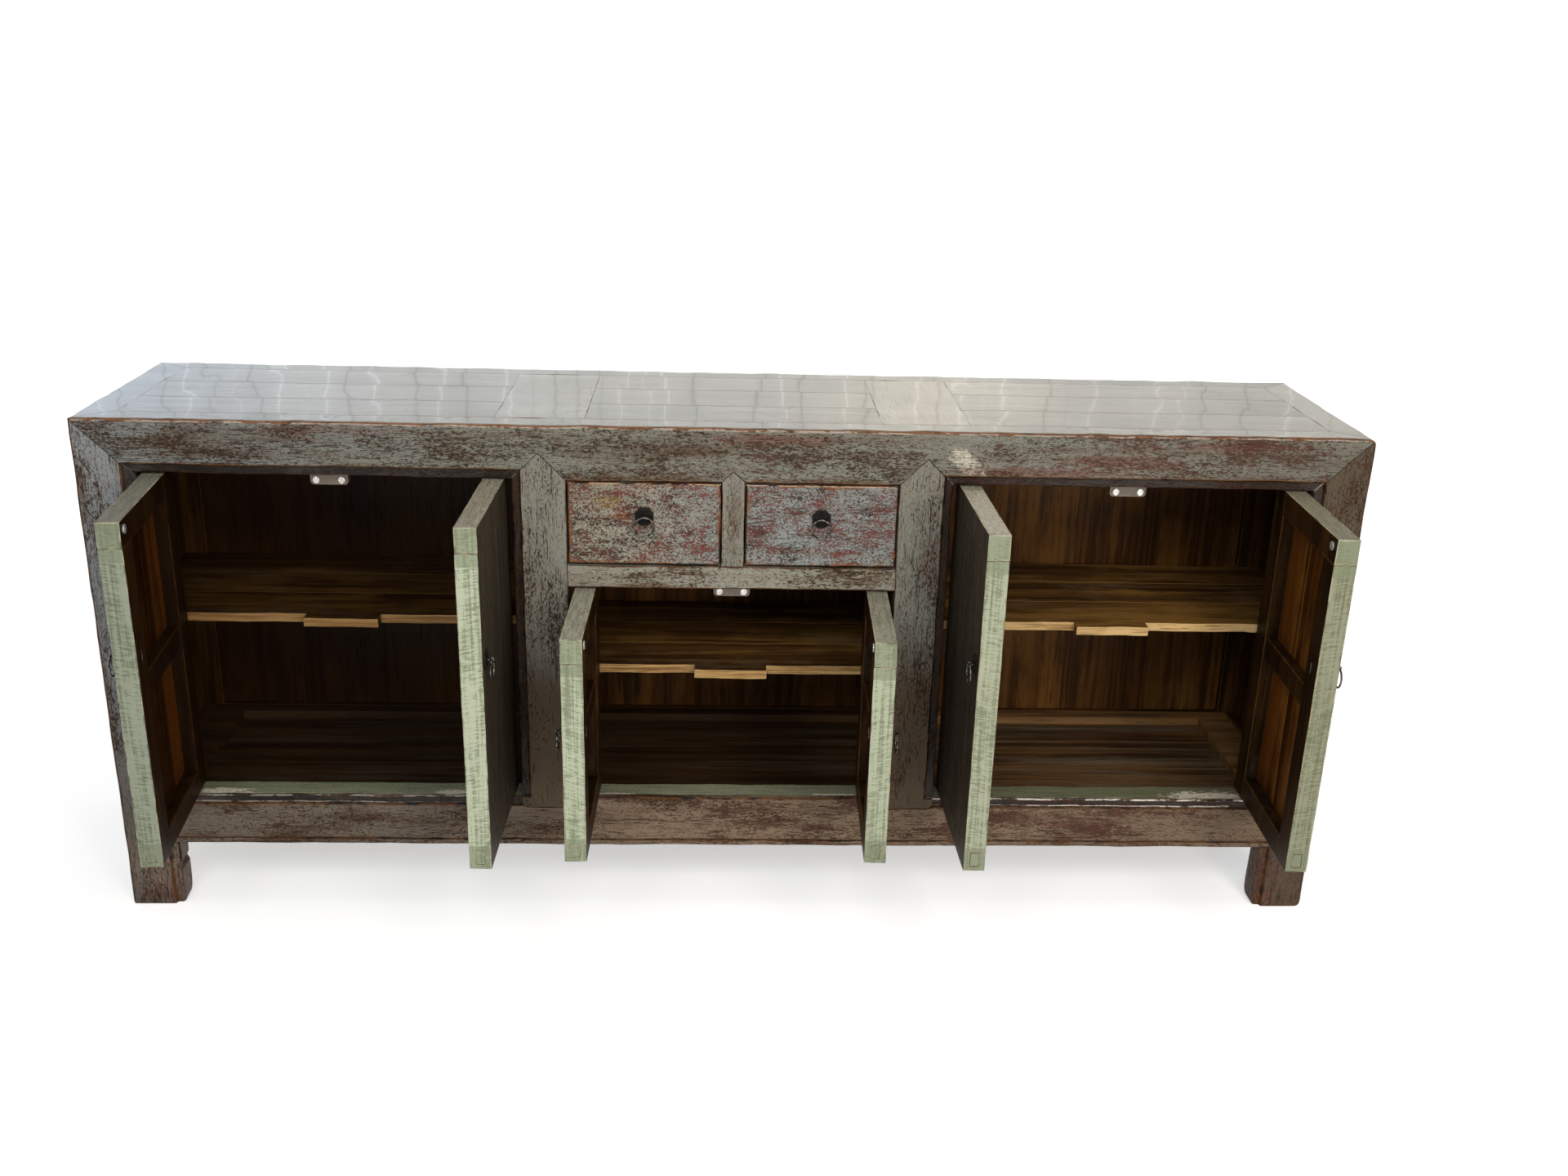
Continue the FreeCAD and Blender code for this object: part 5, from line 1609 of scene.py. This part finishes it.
@dataclass
class Frontage:
    """Lacquered front frame: legs, stiles, rails and the upright between the drawers."""

    arris: float = 0.0009
    back_u: float = 0.040
    ledge_u: float = 0.008
    bead_u: float = 0.006
    bead_low: float = 0.003
    bead_high: float = 0.0125
    bead_round: float = 0.0040
    bead_slack: float = 0.0002
    bead_least: float = 0.03
    bead_slant: float = 0.25
    bead_foot: float = 0.17
    inner_x: float = 0.937
    foot_outer: Pair = (0.003, 0.012)
    foot_inner: float = 0.007
    notch_z: Tuple[float, float, float] = (0.063, 0.0715, 0.080)
    notch_depth: float = 0.0035
    notch_reach: float = 0.003

    def wear_foot(self, piece: Piece) -> None:
        """Round the lower corners of a leg, and cut the small notch in the left one.

        Args:
            piece: the copy of the leg.
        """
        on_left = piece.data.vertices[0].co.x < 0
        side = -1.0 if on_left else 1.0
        outer_round = self.foot_outer[0 if on_left else 1]
        round_off(piece, Vector((HALF_WIDTH * side, 0.0, 0.0)), (side, -1.0), outer_round)
        round_off(piece, Vector((self.inner_x * side, 0.0, 0.0)), (-side, -1.0), self.foot_inner)
        if not on_left:
            return
        with bench(piece):
            for height in self.notch_z:
                bpy.ops.mesh.select_all(action="SELECT")
                bpy.ops.mesh.bisect(plane_co=(0.0, 0.0, height), plane_no=(0.0, 0.0, 1.0))
        level, reach = self.notch_z[1], self.inner_x + self.notch_reach
        with bench_on_edges(piece, lambda a, b: max(abs(a.z - level), abs(b.z - level)) < TOUCH
                            and max(abs(a.x), abs(b.x)) < reach and max(a.y, b.y) > FRONT_Y + self.back_u):
            bpy.ops.transform.translate(value=(-self.notch_depth, 0.0, 0.0))

    def round_bead(self, piece: Piece) -> None:
        """Round the bead towards the bay and hollow the corner behind it.

        Args:
            piece: the copy of a leg, stile or rail.
        """
        level = FRONT_Y + self.bead_u
        with bench_on_edges(piece, lambda a, b: max(abs(a.y - level), abs(b.y - level)) < self.bead_slack
                            and (a - b).length > self.bead_least
                            and min(abs(a.x - b.x), abs(a.z - b.z)) < TOUCH):
            bpy.ops.mesh.bevel(offset=self.bead_round, segments=4, clamp_overlap=False)

    def inside(self, centre: Vector, normal: Vector) -> bool:
        """Whether a face is on the back of the front frame."""
        return facing(normal, y=1.0) and centre.y - FRONT_Y > self.back_u

    def bead(self, centre: Vector, normal: Vector) -> bool:
        """Whether a face is on the bead round an outer bay."""
        return normal.y < -self.bead_slant and self.bead_low < centre.y - FRONT_Y < self.bead_high

    def upright_rule(self, centre: Vector, normal: Vector) -> int:
        """Finish of a face of a leg or stile: varnish behind, dark bead, lacquer elsewhere."""
        bead = 2 if self.bead(centre, normal) and centre.z > LEDGE else 0
        return 1 if self.inside(centre, normal) else bead

    def rail(self, centre: Vector, normal: Vector, upper: bool, bead_from: float) -> int:
        """Finish of a face of a rail: gloss or paint above, varnish behind, dark bead, lacquer in front.

        Args:
            centre: its centre.
            normal: its normal.
            upper: whether it is on the upper side.
            bead_from: height from which the bead is dark.

        Returns:
            The number of its finish.
        """
        if upper:
            return 1
        if self.inside(centre, normal):
            return 2
        return 3 if self.bead(centre, normal) and centre.z > bead_from else 0

    def rail_rule(self, centre: Vector, normal: Vector) -> int:
        """Finish of a face of the top rail."""
        return self.rail(centre, normal, facing(normal, z=1.0) and centre.z > HEIGHT - SKIN, 0.0)

    def base_rule(self, centre: Vector, normal: Vector) -> int:
        """Finish of a face of the bottom rail."""
        upper = facing(normal, z=1.0) and centre.z > LEDGE - SKIN and centre.y - FRONT_Y > self.ledge_u
        return self.rail(centre, normal, upper, self.bead_foot)

    def build(self) -> None:
        """Dress every piece of the front frame."""
        body = Body.CARCASS.value
        for node in ("leg_front_left", "leg_front_right", "stile_front_left", "stile_front_right",
                     "drawer_divider"):
            at_end = node.startswith("leg")
            work = Work(node, "lacquered_", body, "lacquer",
                        ("lacquer_uprights" if at_end else "lacquer_stiles", "varnish_upright",
                         "lacquer_bead_upright"), self.upright_rule, self.arris, Grain.UPRIGHT)
            piece = work.start()
            if at_end:
                self.wear_foot(piece)
                round_heads(piece)
            self.round_bead(piece)
            work.finish(piece)
        for node, outer, upper, rule in (
                ("top_rail_front", "lacquer_rails", "top_rail_gloss", self.rail_rule),
                ("bottom_rail_front", "lacquer_base_rail", "ledge_paint", self.base_rule)):
            work = Work(node, "lacquered_", body, "lacquer",
                        (outer, upper, "varnish_lengthwise", "lacquer_bead"), rule, self.arris, Grain.ACROSS)
            piece = work.start()
            self.round_bead(piece)
            round_heads(piece)
            work.finish(piece)
        Work("drawer_rails", "lacquered_", body, "lacquer", ("lacquer_drawer_rail", "varnish_lengthwise"),
             lambda centre, normal: int(centre.y - FRONT_Y > self.back_u), self.arris, Grain.ACROSS).build()


@dataclass
class Top:
    """Glossy top: boards, end rails, cross rails and rear rail."""

    arris: float = 0.0008

    @staticmethod
    def flat(centre: Vector, normal: Vector) -> bool:
        """Whether a face is on the upper side."""
        return facing(normal, z=1.0) and centre.z > HEIGHT - SKIN

    def shell(self, centre: Vector, normal: Vector) -> int:
        """Finish of a face of an outer rail: gloss above, varnish inside, lacquer outside."""
        inward = ((0.0, 0.0, -1.0), (0.0, -1.0, 0.0), (-1.0 if centre.x > 0 else 1.0, 0.0, 0.0))
        return 1 if self.flat(centre, normal) else 2 * any(facing(normal, *way) for way in inward)

    def board(self, centre: Vector, normal: Vector) -> int:
        """Finish of a face of a board: gloss above, varnish elsewhere."""
        return 0 if self.flat(centre, normal) else 1

    def build(self) -> None:
        """Dress every piece of the top."""
        for node, finishes, rule, run in (
                ("top_end_rails", ("lacquer_ends", "top_ends_gloss", "varnish_backward"), self.shell,
                 Grain.BACKWARD),
                ("top_rail_rear", ("lacquer_rails", "top_boards_gloss", "varnish_lengthwise"), self.shell,
                 Grain.ACROSS),
                ("top_cross_rails", ("top_cross_gloss", "varnish_backward"), self.board, Grain.BACKWARD),
                ("top_boards", ("top_boards_gloss", "varnish_lengthwise"), self.board, Grain.ACROSS)):
            Work(node, "lacquered_", Body.CARCASS.value, "lacquer", finishes, rule, self.arris, run,
                 heads=rule == self.shell).build()


@dataclass
class Inside:
    """Varnished inside: walls, floors, shelves, back and what carries them."""

    arris: float = 0.0010
    shelf_front_u: float = 0.067
    wall_least: float = 0.9

    def shelf(self, centre: Vector, normal: Vector) -> int:
        """Bare golden wood on the front edge of a shelf."""
        return int(facing(normal, y=-1.0) and centre.y - FRONT_Y < self.shelf_front_u)

    def outer_wall(self, centre: Vector, normal: Vector) -> int:
        """Lacquer on the outside of the ends."""
        return int(normal.x * centre.x > 0 and abs(normal.x) > self.wall_least)

    @staticmethod
    def rear(centre: Vector, normal: Vector) -> int:
        """Lacquer on the outer sides of the rear, varnish towards the inside."""
        return int(facing(normal, y=1.0) or (abs(normal.x) > FACING and normal.x * centre.x > 0))

    def build(self) -> None:
        """Dress every piece of the inside and of the hidden sides."""
        make = partial(Work, prefix="varnished_", body=Body.CARCASS.value, arris=self.arris)
        wood, coated = partial(make, slot="interior_wood"), partial(make, slot="lacquer")
        shelves = ("varnish_shelf", "shelf_edge")
        uprights = ("varnish_upright", "lacquer_uprights")
        for work in (
                *(wood(node, finishes=shelves, rule=self.shelf, run=Grain.ACROSS)
                  for node in ("shelf_left", "shelf_centre", "shelf_right")),
                wood("floor_boards", finishes=("varnish_floor",), across=Grain.BACKWARD),
                wood("floor_cleats", finishes=("varnish_cleat",)),
                wood("partitions", finishes=("varnish_upright",)),
                coated("side_panels", finishes=uprights, rule=self.outer_wall, across=Grain.BACKWARD),
                wood("back_boards", finishes=("varnish_back", "plain_wood_upright"),
                     rule=lambda centre, normal: int(facing(normal, y=1.0)), across=Grain.ACROSS),
                coated("legs_rear", finishes=uprights, rule=self.rear, heads=True),
                coated("stiles_rear", finishes=uprights, rule=self.rear),
                coated("bottom_rail_rear", finishes=("varnish_lengthwise", "lacquer_rails"), rule=self.rear),
                coated("bottom_side_rails", finishes=("varnish_backward", "lacquer_ends"), rule=self.rear),
                *(wood(node, finishes=("plain_wood",))
                  for node in ("floor_bearers", "drawer_runners", "shelf_bearers"))):
            work.build()


@dataclass
class RingPull:
    """Iron ring pull: octagonal plate, eye pin clenched behind, and a loose ring."""

    plate_across: float = 0.030
    plate_thick: float = 0.002
    eye_standoff: float = 0.009
    eye_radius: float = 0.0029
    eye_wire: float = 0.0010
    shank: float = 0.0024
    clench: float = 0.009
    clench_thick: float = 0.0013
    ring_radius: float = 0.0154
    ring_wire: float = 0.0016
    dent: float = 0.006
    hammering: float = 0.0004
    plate_steps: Steps = ((0.003, -0.0006), (0.006, -0.0008))
    arris: float = 0.0004
    clench_arris: float = 0.0003
    eye_faces: Tuple[int, int] = (28, 10)
    ring_faces: Tuple[int, int] = (64, 14)

    def plate(self) -> Piece:
        """Model the plate: an octagon with a raised boss in the middle and a bevelled rim.

        Returns:
            The plate.
        """
        corner = math.pi / 8.0
        piece = disc(self.plate_across / 2.0 / math.cos(corner), self.plate_thick,
                     (0.0, -self.plate_thick / 2.0, 0.0), 8, corner)
        step_in(piece, -1.0, self.plate_steps)
        soften(piece, self.arris)
        return piece

    def eye(self, back: float) -> Piece:
        """Model the eye pin.

        Args:
            back: depth behind the face at which the shank is clenched.

        Returns:
            The eye pin.
        """
        eye = hoop(self.eye_radius, self.eye_wire, (0.0, -self.eye_standoff, 0.0),
                   (0.0, math.pi / 2.0, 0.0), self.eye_faces)
        start = -self.eye_standoff + self.eye_radius + self.eye_wire * 0.4
        end = back + self.clench_thick
        shank = block((self.shank, end - start, self.shank), (0.0, (start + end) / 2.0, 0.0))
        soften(shank, self.arris)
        bar = block((self.shank, self.clench_thick, 2.0 * self.clench),
                    (0.0, back + self.clench_thick / 2.0, 0.0))
        with bench_on_faces(bar, lambda centre, normal: abs(normal.z) > FACING):
            bpy.ops.mesh.inset(thickness=self.clench_thick * 0.25)
        soften(bar, self.clench_arris)
        return join((eye, shank, bar), "eye")

    def ring(self) -> Piece:
        """Model the ring, a little flattened by the hammer.

        Returns:
            The ring.
        """
        piece = hoop(self.ring_radius, self.ring_wire, (0.0, -self.eye_standoff, -self.ring_radius),
                     (math.pi / 2.0, 0.0, 0.0), self.ring_faces)
        work_over(piece, "DISPLACE", texture=cloud_pattern("hammer", noise_scale=self.dent),
                  texture_coords="LOCAL", strength=self.hammering, mid_level=0.75)
        return piece

    def fit(self, body: str, spot: Matrix, back: float, to_bench: Matrix = Matrix.Identity(4),
            others: Sequence[Callable[[], Piece]] = ()) -> None:
        """Model one pull, set it on its door or drawer and hang it there.

        Args:
            body: the body that carries the fixings; the ring has a body of its own.
            spot: where the middle of the plate lies.
            back: depth behind the face at which the eye pin is clenched.
            to_bench: turns the pieces into the frame in which they lie square.
            others: make further pieces, in their places, that are joined to the fixings.
        """
        fixed = []
        for piece, finish in ((self.plate(), "plate_iron"), (self.eye(back), "ring_iron")):
            piece.data.materials.append(FINISHES.get(finish))
            move_to(piece, spot)
            fixed.append(piece)
        fixed += [make() for make in others]
        ring = self.ring()
        ring.data.materials.append(FINISHES.get("ring_iron"))
        move_to(ring, spot)
        ring.name = ring.data.name = "iron_ring_" + body
        for made, carrier, node in ((join(fixed, "iron_fixings_" + body), body, "_hardware"),
                                    (ring, Body.RING.value % body, "_ring")):
            shade(made)
            mark_boards(made, to_bench)
            hand_over(made, carrier, [body + node])


@dataclass
class Catch:
    """Double magnetic catches under the rails: a brown body with two magnets each."""

    length: float = 0.060
    drop: float = 0.026
    spread: float = 0.040
    magnet_radius: float = 0.0055
    magnet_rise: float = 0.008
    proud: float = 0.001
    body_depth: float = 0.013
    gap: float = 0.0359
    corner: float = 0.006
    body_steps: Steps = ((0.0015, 0.0006),)
    magnet_steps: Steps = ((0.0012, 0.0005), (0.0006, -0.0004))
    body_arris: float = 0.0006
    magnet_arris: float = 0.0002
    places: Tuple[Triple, ...] = ((-0.644, 0.772, 0.006), (0.0, 0.592, 0.001), (0.644, 0.772, 0.006))

    def build_one(self) -> Piece:
        """Model one catch, with its magnets' front at depth 0 and the rail's underside at height 0.

        Returns:
            The catch.
        """
        finishes = ("catch_plastic_brown", "steel")
        body = block((self.length, self.body_depth, self.drop),
                     (0.0, self.proud + self.body_depth / 2.0, -self.drop / 2.0))
        with bench_on_edges(body, lambda a, b: abs(a.x - b.x) < TOUCH and abs(a.z - b.z) < TOUCH
                            and a.z < -TOUCH):
            bpy.ops.mesh.bevel(offset=self.corner, segments=5)
        step_in(body, -1.0, self.body_steps)
        soften(body, self.body_arris)
        FINISHES.lay_on(body, finishes)
        pieces = [body]
        for side in (-1.0, 1.0):
            magnet = disc(self.magnet_radius, 2.0 * self.proud,
                          (side * self.spread / 2.0, self.proud, self.magnet_rise - self.drop))
            step_in(magnet, -1.0, self.magnet_steps)
            soften(magnet, self.magnet_arris)
            FINISHES.lay_on(magnet, finishes, lambda centre, normal: 1)
            pieces.append(magnet)
        return join(pieces, "catch")

    def build(self) -> None:
        """Model the catch of each of the three bays and hang them."""
        catches = []
        for x, top, setback in self.places:
            catch = self.build_one()
            move_to(catch, Matrix.Translation((x, FRONT_Y + setback + self.gap, top)))
            catches.append(catch)
        piece = join(catches, "moulded_catches")
        shade(piece)
        mark_boards(piece)
        hand_over(piece, Body.CARCASS.value, ["magnetic_catches"])


@dataclass
class Door:
    """One framed door, standing open as it was photographed."""

    name: str
    hinge_on_left: bool
    width: float
    open_angle: float
    pivot_x: float
    pivot_u: float
    foot: float
    head: float
    pull_z: float
    strike_z: float
    arris: float = 0.0009
    pull_inset: float = 0.025
    strike_inset: float = 0.0188
    strike_radius: float = 0.007
    strike_thick: float = 0.0015
    strike_steps: Steps = ((0.0030, -0.0005), (0.0004, 0.0004))
    strike_arris: float = 0.0003
    pivot_wear: float = 0.72
    end_wear: float = 0.993
    wave: float = 0.0012

    def from_bench(self) -> Matrix:
        """Matrix from the closed door on the bench (hinge edge at 0, outer face at 0) to its open place.

        Returns:
            The matrix.
        """
        shift = Matrix.Translation((-PIVOT_INSET, -DOOR_THICK / 2.0, 0.0))
        mirror = Matrix.Diagonal((1.0 if self.hinge_on_left else -1.0, 1.0, 1.0, 1.0))
        angle = math.radians(self.open_angle)
        swing = Matrix.Rotation(-angle if self.hinge_on_left else angle, 4, "Z")
        pivot = Matrix.Translation((self.pivot_x, FRONT_Y + self.pivot_u, 0.0))
        return pivot @ swing @ mirror @ shift

    def side(self, centre: Vector, normal: Vector) -> int:
        """Finish of a face of the frame: outside, inside, painted edge or painted top.

        Args:
            centre: its centre.
            normal: its normal.

        Returns:
            The number of its finish.
        """
        if facing(normal, y=-1.0):
            return 0
        if facing(normal, x=1.0) and centre.x > self.width - SKIN:
            return 2
        if abs(normal.z) > FACING and (centre.z > self.head - SKIN or centre.z < self.foot + SKIN):
            return 3
        if facing(normal, x=-1.0) and centre.x < SKIN:
            return 0
        return 1

    def wear_pivots(self, piece: Piece) -> None:
        """Wear the two pivots thinner and shorter, so that they turn freely in uneven sockets.

        Args:
            piece: the copy of the frame.
        """
        middle = (self.pivot_x, FRONT_Y + self.pivot_u, (self.foot + self.head) / 2.0)
        for flat, scale in ((0.0, (self.pivot_wear, self.pivot_wear, 1.0)),
                            (FACING, (1.0, 1.0, self.end_wear))):
            with bench_on_faces(piece, lambda centre, normal: abs(normal.z) >= flat and not (
                    self.foot - TOUCH < centre.z < self.head + TOUCH)):
                bpy.ops.transform.resize(value=scale, center_override=middle)

    def frame_and_panel(self) -> None:
        """Dress the frame and the panel."""
        shared = ("lacquered_", Body.DOOR.value % self.name, "door_lacquer")
        to_bench = self.from_bench().inverted()
        frame = Work("door_%s_frame" % self.name, *shared,
                     ("lacquer_door_outside", "varnish_door_frame", "door_edge_paint", "door_top_paint"),
                     self.side, self.arris, Grain.UPRIGHT, to_bench, self.wave)
        piece = frame.start()
        self.wear_pivots(piece)
        frame.finish(piece)
        Work("door_%s_panel" % self.name, *shared, ("lacquer_door_outside", "varnish_door_panel"),
             lambda centre, normal: int(not facing(normal, y=-1.0)), self.arris, None, to_bench).build()

    def strike(self) -> Piece:
        """Model the steel disc that meets the magnet, with its screw, in its place.

        Returns:
            The disc.
        """
        piece = disc(self.strike_radius, self.strike_thick, (0.0, self.strike_thick / 2.0, 0.0))
        step_in(piece, 1.0, self.strike_steps)
        soften(piece, self.strike_arris)
        piece.data.materials.append(FINISHES.get("steel"))
        spot = Matrix.Translation((self.width - self.strike_inset, DOOR_THICK, self.strike_z))
        move_to(piece, self.from_bench() @ spot)
        return piece

    def build(self, pull: RingPull) -> None:
        """Dress the whole door.

        Args:
            pull: the ring pull to fit.
        """
        self.frame_and_panel()
        place = self.from_bench()
        spot = Matrix.Translation((self.width - self.pull_inset, 0.0, self.pull_z))
        pull.fit(Body.DOOR.value % self.name, place @ spot, DOOR_THICK, place.inverted(), (self.strike,))


@dataclass
class Drawer:
    """One drawer, closed: lacquered front, plain box, ring pull."""

    name: str
    middle_x: float
    pull_z: float
    setback: float = 0.0005
    front_thick: float = 0.022
    side_from: float = 0.100
    front_arris: float = 0.0015
    arris: float = 0.0008

    def build(self, pull: RingPull) -> None:
        """Dress the front, the box and the pull.

        Args:
            pull: the ring pull to fit.
        """
        body = Body.DRAWER.value % self.name
        Work(body + "_front", "lacquered_", body, "drawer_lacquer", ("lacquer_drawers", "plain_wood"),
             lambda centre, normal: int(facing(normal, y=1.0)), self.front_arris).build()
        Work(body + "_box", "plain_", body, "interior_wood", ("plain_wood", "plain_wood_backward"),
             lambda centre, normal: int(abs(centre.x - self.middle_x) > self.side_from), self.arris).build()
        spot = Matrix.Translation((self.middle_x, FRONT_Y + self.setback, self.pull_z))
        pull.fit(body, spot, self.front_thick)


@dataclass(frozen=True)
class Lamp:
    """One soft lamp: where it hangs, what it points at, the size of its face, its power and its colour."""

    name: str
    place: Triple
    target: Triple
    size: Pair
    power: float
    colour: Colour

    def hang(self) -> None:
        """Hang the lamp, out of the camera's sight."""
        data = bpy.data.lights.new(self.name, "AREA")
        data.shape = "RECTANGLE"
        data.size, data.size_y = self.size
        data.energy = self.power
        data.color = self.colour
        lamp = bpy.data.objects.new(self.name, data)
        bpy.context.scene.collection.objects.link(lamp)
        lamp.location = self.place
        way = Vector(self.target) - Vector(self.place)
        lamp.rotation_euler = way.to_track_quat("-Z", "Y").to_euler()
        lamp.visible_camera = False


@dataclass
class Studio:
    """White floor, soft lamps, a screen for the gloss and a camera as in the photograph."""

    eye: Triple = (-0.0266, -2.38877, 1.4453)
    yaw: float = 2.762
    pitch: float = 20.231
    roll: float = 1.654
    focal_px: float = 1851.1
    image_px: float = 1920.0
    sensor_mm: float = 36.0
    floor_size: float = 60.0
    floor_tone: Colour = (0.82, 0.82, 0.82)
    floor_rough: float = 0.9
    floor_lift: float = 0.50
    lift_range: Pair = (1.2, 4.0)
    sky: float = 0.34
    screen_y: float = 3.16
    screen_size: Pair = (9.0, 3.2)
    tone_width: float = 5.0
    tones: Tuple[Tuple[float, Colour], ...] = (
        (-2.2, (0.800, 0.860, 0.920)), (-1.1, (0.805, 0.810, 0.795)), (0.0, (0.850, 0.838, 0.790)),
        (0.75, (0.980, 0.935, 0.840)), (1.30, (0.815, 0.792, 0.740)), (2.0, (0.690, 0.668, 0.620)))
    plank: float = 0.084
    seam: Pair = (0.02, 0.08)
    seam_change: Pair = (-0.50, 0.60)
    glow: float = 1.16
    glow_range: Pair = (0.90, 1.10)
    far: float = 200.0
    lamps: Tuple[Lamp, ...] = (
        Lamp("lamp_left", (-0.60, -3.1, 2.7), (0.0, 0.1, 0.5), (2.0, 1.2), 51.0, (0.95, 0.98, 1.0)),
        Lamp("lamp_right", (1.4, -2.9, 2.9), (0.1, 0.1, 0.4), (1.4, 1.2), 43.0, (1.0, 0.96, 0.90)),
        Lamp("lamp_low", (1.6, -3.6, 1.35), (0.2, 0.2, 0.4), (0.8, 0.5), 36.0, (1.0, 0.94, 0.84)),
        Lamp("lamp_above", (0.0, 0.3, 4.0), (0.0, 0.1, 0.8), (3.6, 2.0), 40.0, (1.0, 1.0, 1.0)),
    )

    def camera(self) -> None:
        """Place the camera."""
        yaw, pitch, roll = (math.radians(angle) for angle in (self.yaw, self.pitch, self.roll))
        forward = Vector((math.sin(yaw) * math.cos(pitch), math.cos(yaw) * math.cos(pitch),
                          -math.sin(pitch)))
        level = Vector((math.cos(yaw), -math.sin(yaw), 0.0))
        rise = level.cross(forward)
        right = math.cos(roll) * level + math.sin(roll) * rise
        up = math.cos(roll) * rise - math.sin(roll) * level
        data = bpy.data.cameras.new("camera")
        data.sensor_fit = "HORIZONTAL"
        data.sensor_width = self.sensor_mm
        data.lens = self.focal_px / self.image_px * self.sensor_mm
        data.clip_end = self.far
        camera = bpy.data.objects.new("camera", data)
        bpy.context.scene.collection.objects.link(camera)
        turn = Matrix((right, up, -forward)).transposed().to_4x4()
        camera.matrix_world = Matrix.Translation(self.eye) @ turn
        bpy.context.scene.camera = camera

    @staticmethod
    def seen(mix: Mixer) -> Socket:
        """Share of rays that should see the white background: from the camera, by mirror or through glass.

        Args:
            mix: the mixer of the floor or of the world.

        Returns:
            The share.
        """
        path = mix.node("LightPath")
        seen = mix.maths("MAXIMUM", path.outputs["Is Camera Ray"], path.outputs["Is Glossy Ray"])
        return mix.maths("MAXIMUM", seen, path.outputs["Is Transmission Ray"])

    def floor(self) -> None:
        """Lay the white floor, which keeps the shadow."""
        bpy.ops.mesh.primitive_plane_add(size=self.floor_size)
        floor = bpy.context.object
        floor.name = "studio_floor"
        material, mix, surface = Finish("studio_floor").start()
        away = mix.node("VectorMath", operation="LENGTH")
        mix.feed(away.inputs[0], mix.here())
        lift = mix.span(away.outputs["Value"], *self.lift_range, self.floor_lift, 1.0)
        mix.feed_all(surface, {
            "Base Color": self.floor_tone, "Roughness": self.floor_rough, "Specular IOR Level": 0.0,
            "Emission Color": WHITE, "Emission Strength": mix.times(self.seen(mix), lift)})
        floor.data.materials.append(material)

    def world(self) -> None:
        """Fill light from all round, with a white background."""
        world = bpy.data.worlds.new("studio")
        world.use_nodes = True
        bpy.context.scene.world = world
        mix = Mixer(world.node_tree)
        sky = world.node_tree.nodes["Background"]
        strength = mix.total(self.sky, mix.times(self.seen(mix), 1.0 - self.sky))
        mix.feed_all(sky, {"Color": WHITE, "Strength": strength})

    def screen(self) -> None:
        """Stand a planked screen behind, which is seen only as a mirror image in the glossy top."""
        width, height = self.screen_size
        bpy.ops.mesh.primitive_plane_add(size=1.0, location=(0.0, self.screen_y, height / 2.0),
                                         rotation=(math.pi / 2.0, 0.0, 0.0))
        screen = bpy.context.object
        screen.name = "studio_screen"
        screen.scale = (width, height, 1.0)
        settle(screen)
        material, mix, surface = Finish("studio_screen").start()
        x = mix.axes(mix.here())[0]
        planks = mix.times(x, 1.0 / self.plank)
        across = mix.maths("ABSOLUTE", mix.maths("SUBTRACT", mix.maths("FRACT", planks), 0.5))
        seams = mix.span(across, *self.seam, 1.0, 0.0)
        number = mix.noise(mix.along(mix.maths("FLOOR", planks)), 0.73, 0.0)
        seams = mix.times(seams, mix.span(number, 0.40, 0.60, *self.seam_change))
        broad = mix.span(mix.noise(mix.along(x), 0.8, 2.0), 0.3, 0.7, *self.glow_range)
        ramp = mix.node("ValToRGB")
        mix.feed(ramp.inputs[0], mix.total(mix.times(x, 1.0 / self.tone_width), 0.5))
        stops = ramp.color_ramp.elements
        while len(stops) < len(self.tones):
            stops.new(1.0)
        for stop, (spot, colour) in zip(stops, self.tones):
            stop.position = spot / self.tone_width + 0.5
            stop.color = (*colour, 1.0)
        mix.feed_all(surface, {
            "Base Color": BLACK, "Specular IOR Level": 0.0, "Emission Color": ramp.outputs[0],
            "Emission Strength": mix.times(broad, mix.total(self.glow, seams))})
        screen.data.materials.append(material)
        for ray in ("camera", "diffuse", "transmission", "shadow"):
            setattr(screen, "visible_" + ray, False)

    def build(self) -> None:
        """Set up the studio."""
        bpy.context.scene.view_settings.view_transform = "Standard"
        self.camera()
        self.floor()
        self.world()
        for lamp in self.lamps:
            lamp.hang()
        self.screen()


OUTER_BAY = dict(width=0.2898, pivot_u=0.023, foot=0.214, head=0.7695, pull_z=0.556, strike_z=0.754)
CENTRE_BAY = dict(width=0.2618, pivot_u=0.018, foot=0.214, head=0.5895, pull_z=0.429, strike_z=0.574)
DOORS = (
    Door("left_outer", True, open_angle=84.8, pivot_x=-0.909, **OUTER_BAY),
    Door("left_inner", False, open_angle=88.8, pivot_x=-0.379, **OUTER_BAY),
    Door("centre_left", True, open_angle=90.8, pivot_x=-0.237, **CENTRE_BAY),
    Door("centre_right", False, open_angle=88.3, pivot_x=0.237, **CENTRE_BAY),
    Door("right_inner", True, open_angle=88.9, pivot_x=0.379, **OUTER_BAY),
    Door("right_outer", False, open_angle=87.7, pivot_x=0.909, **OUTER_BAY),
)
DRAWERS = (Drawer("left", -0.1415, 0.714), Drawer("right", 0.1415, 0.714))


def main() -> None:
    """Build and dress every sub-assembly, then set up the studio."""
    logging.basicConfig(level=logging.INFO, format="%(name)s: %(message)s")
    Frontage().build()
    Top().build()
    Inside().build()
    pull = RingPull()
    for door in DOORS:
        door.build(pull)
    for drawer in DRAWERS:
        drawer.build(pull)
    Catch().build()
    Studio().build()


if __name__ == "__main__":
    main()
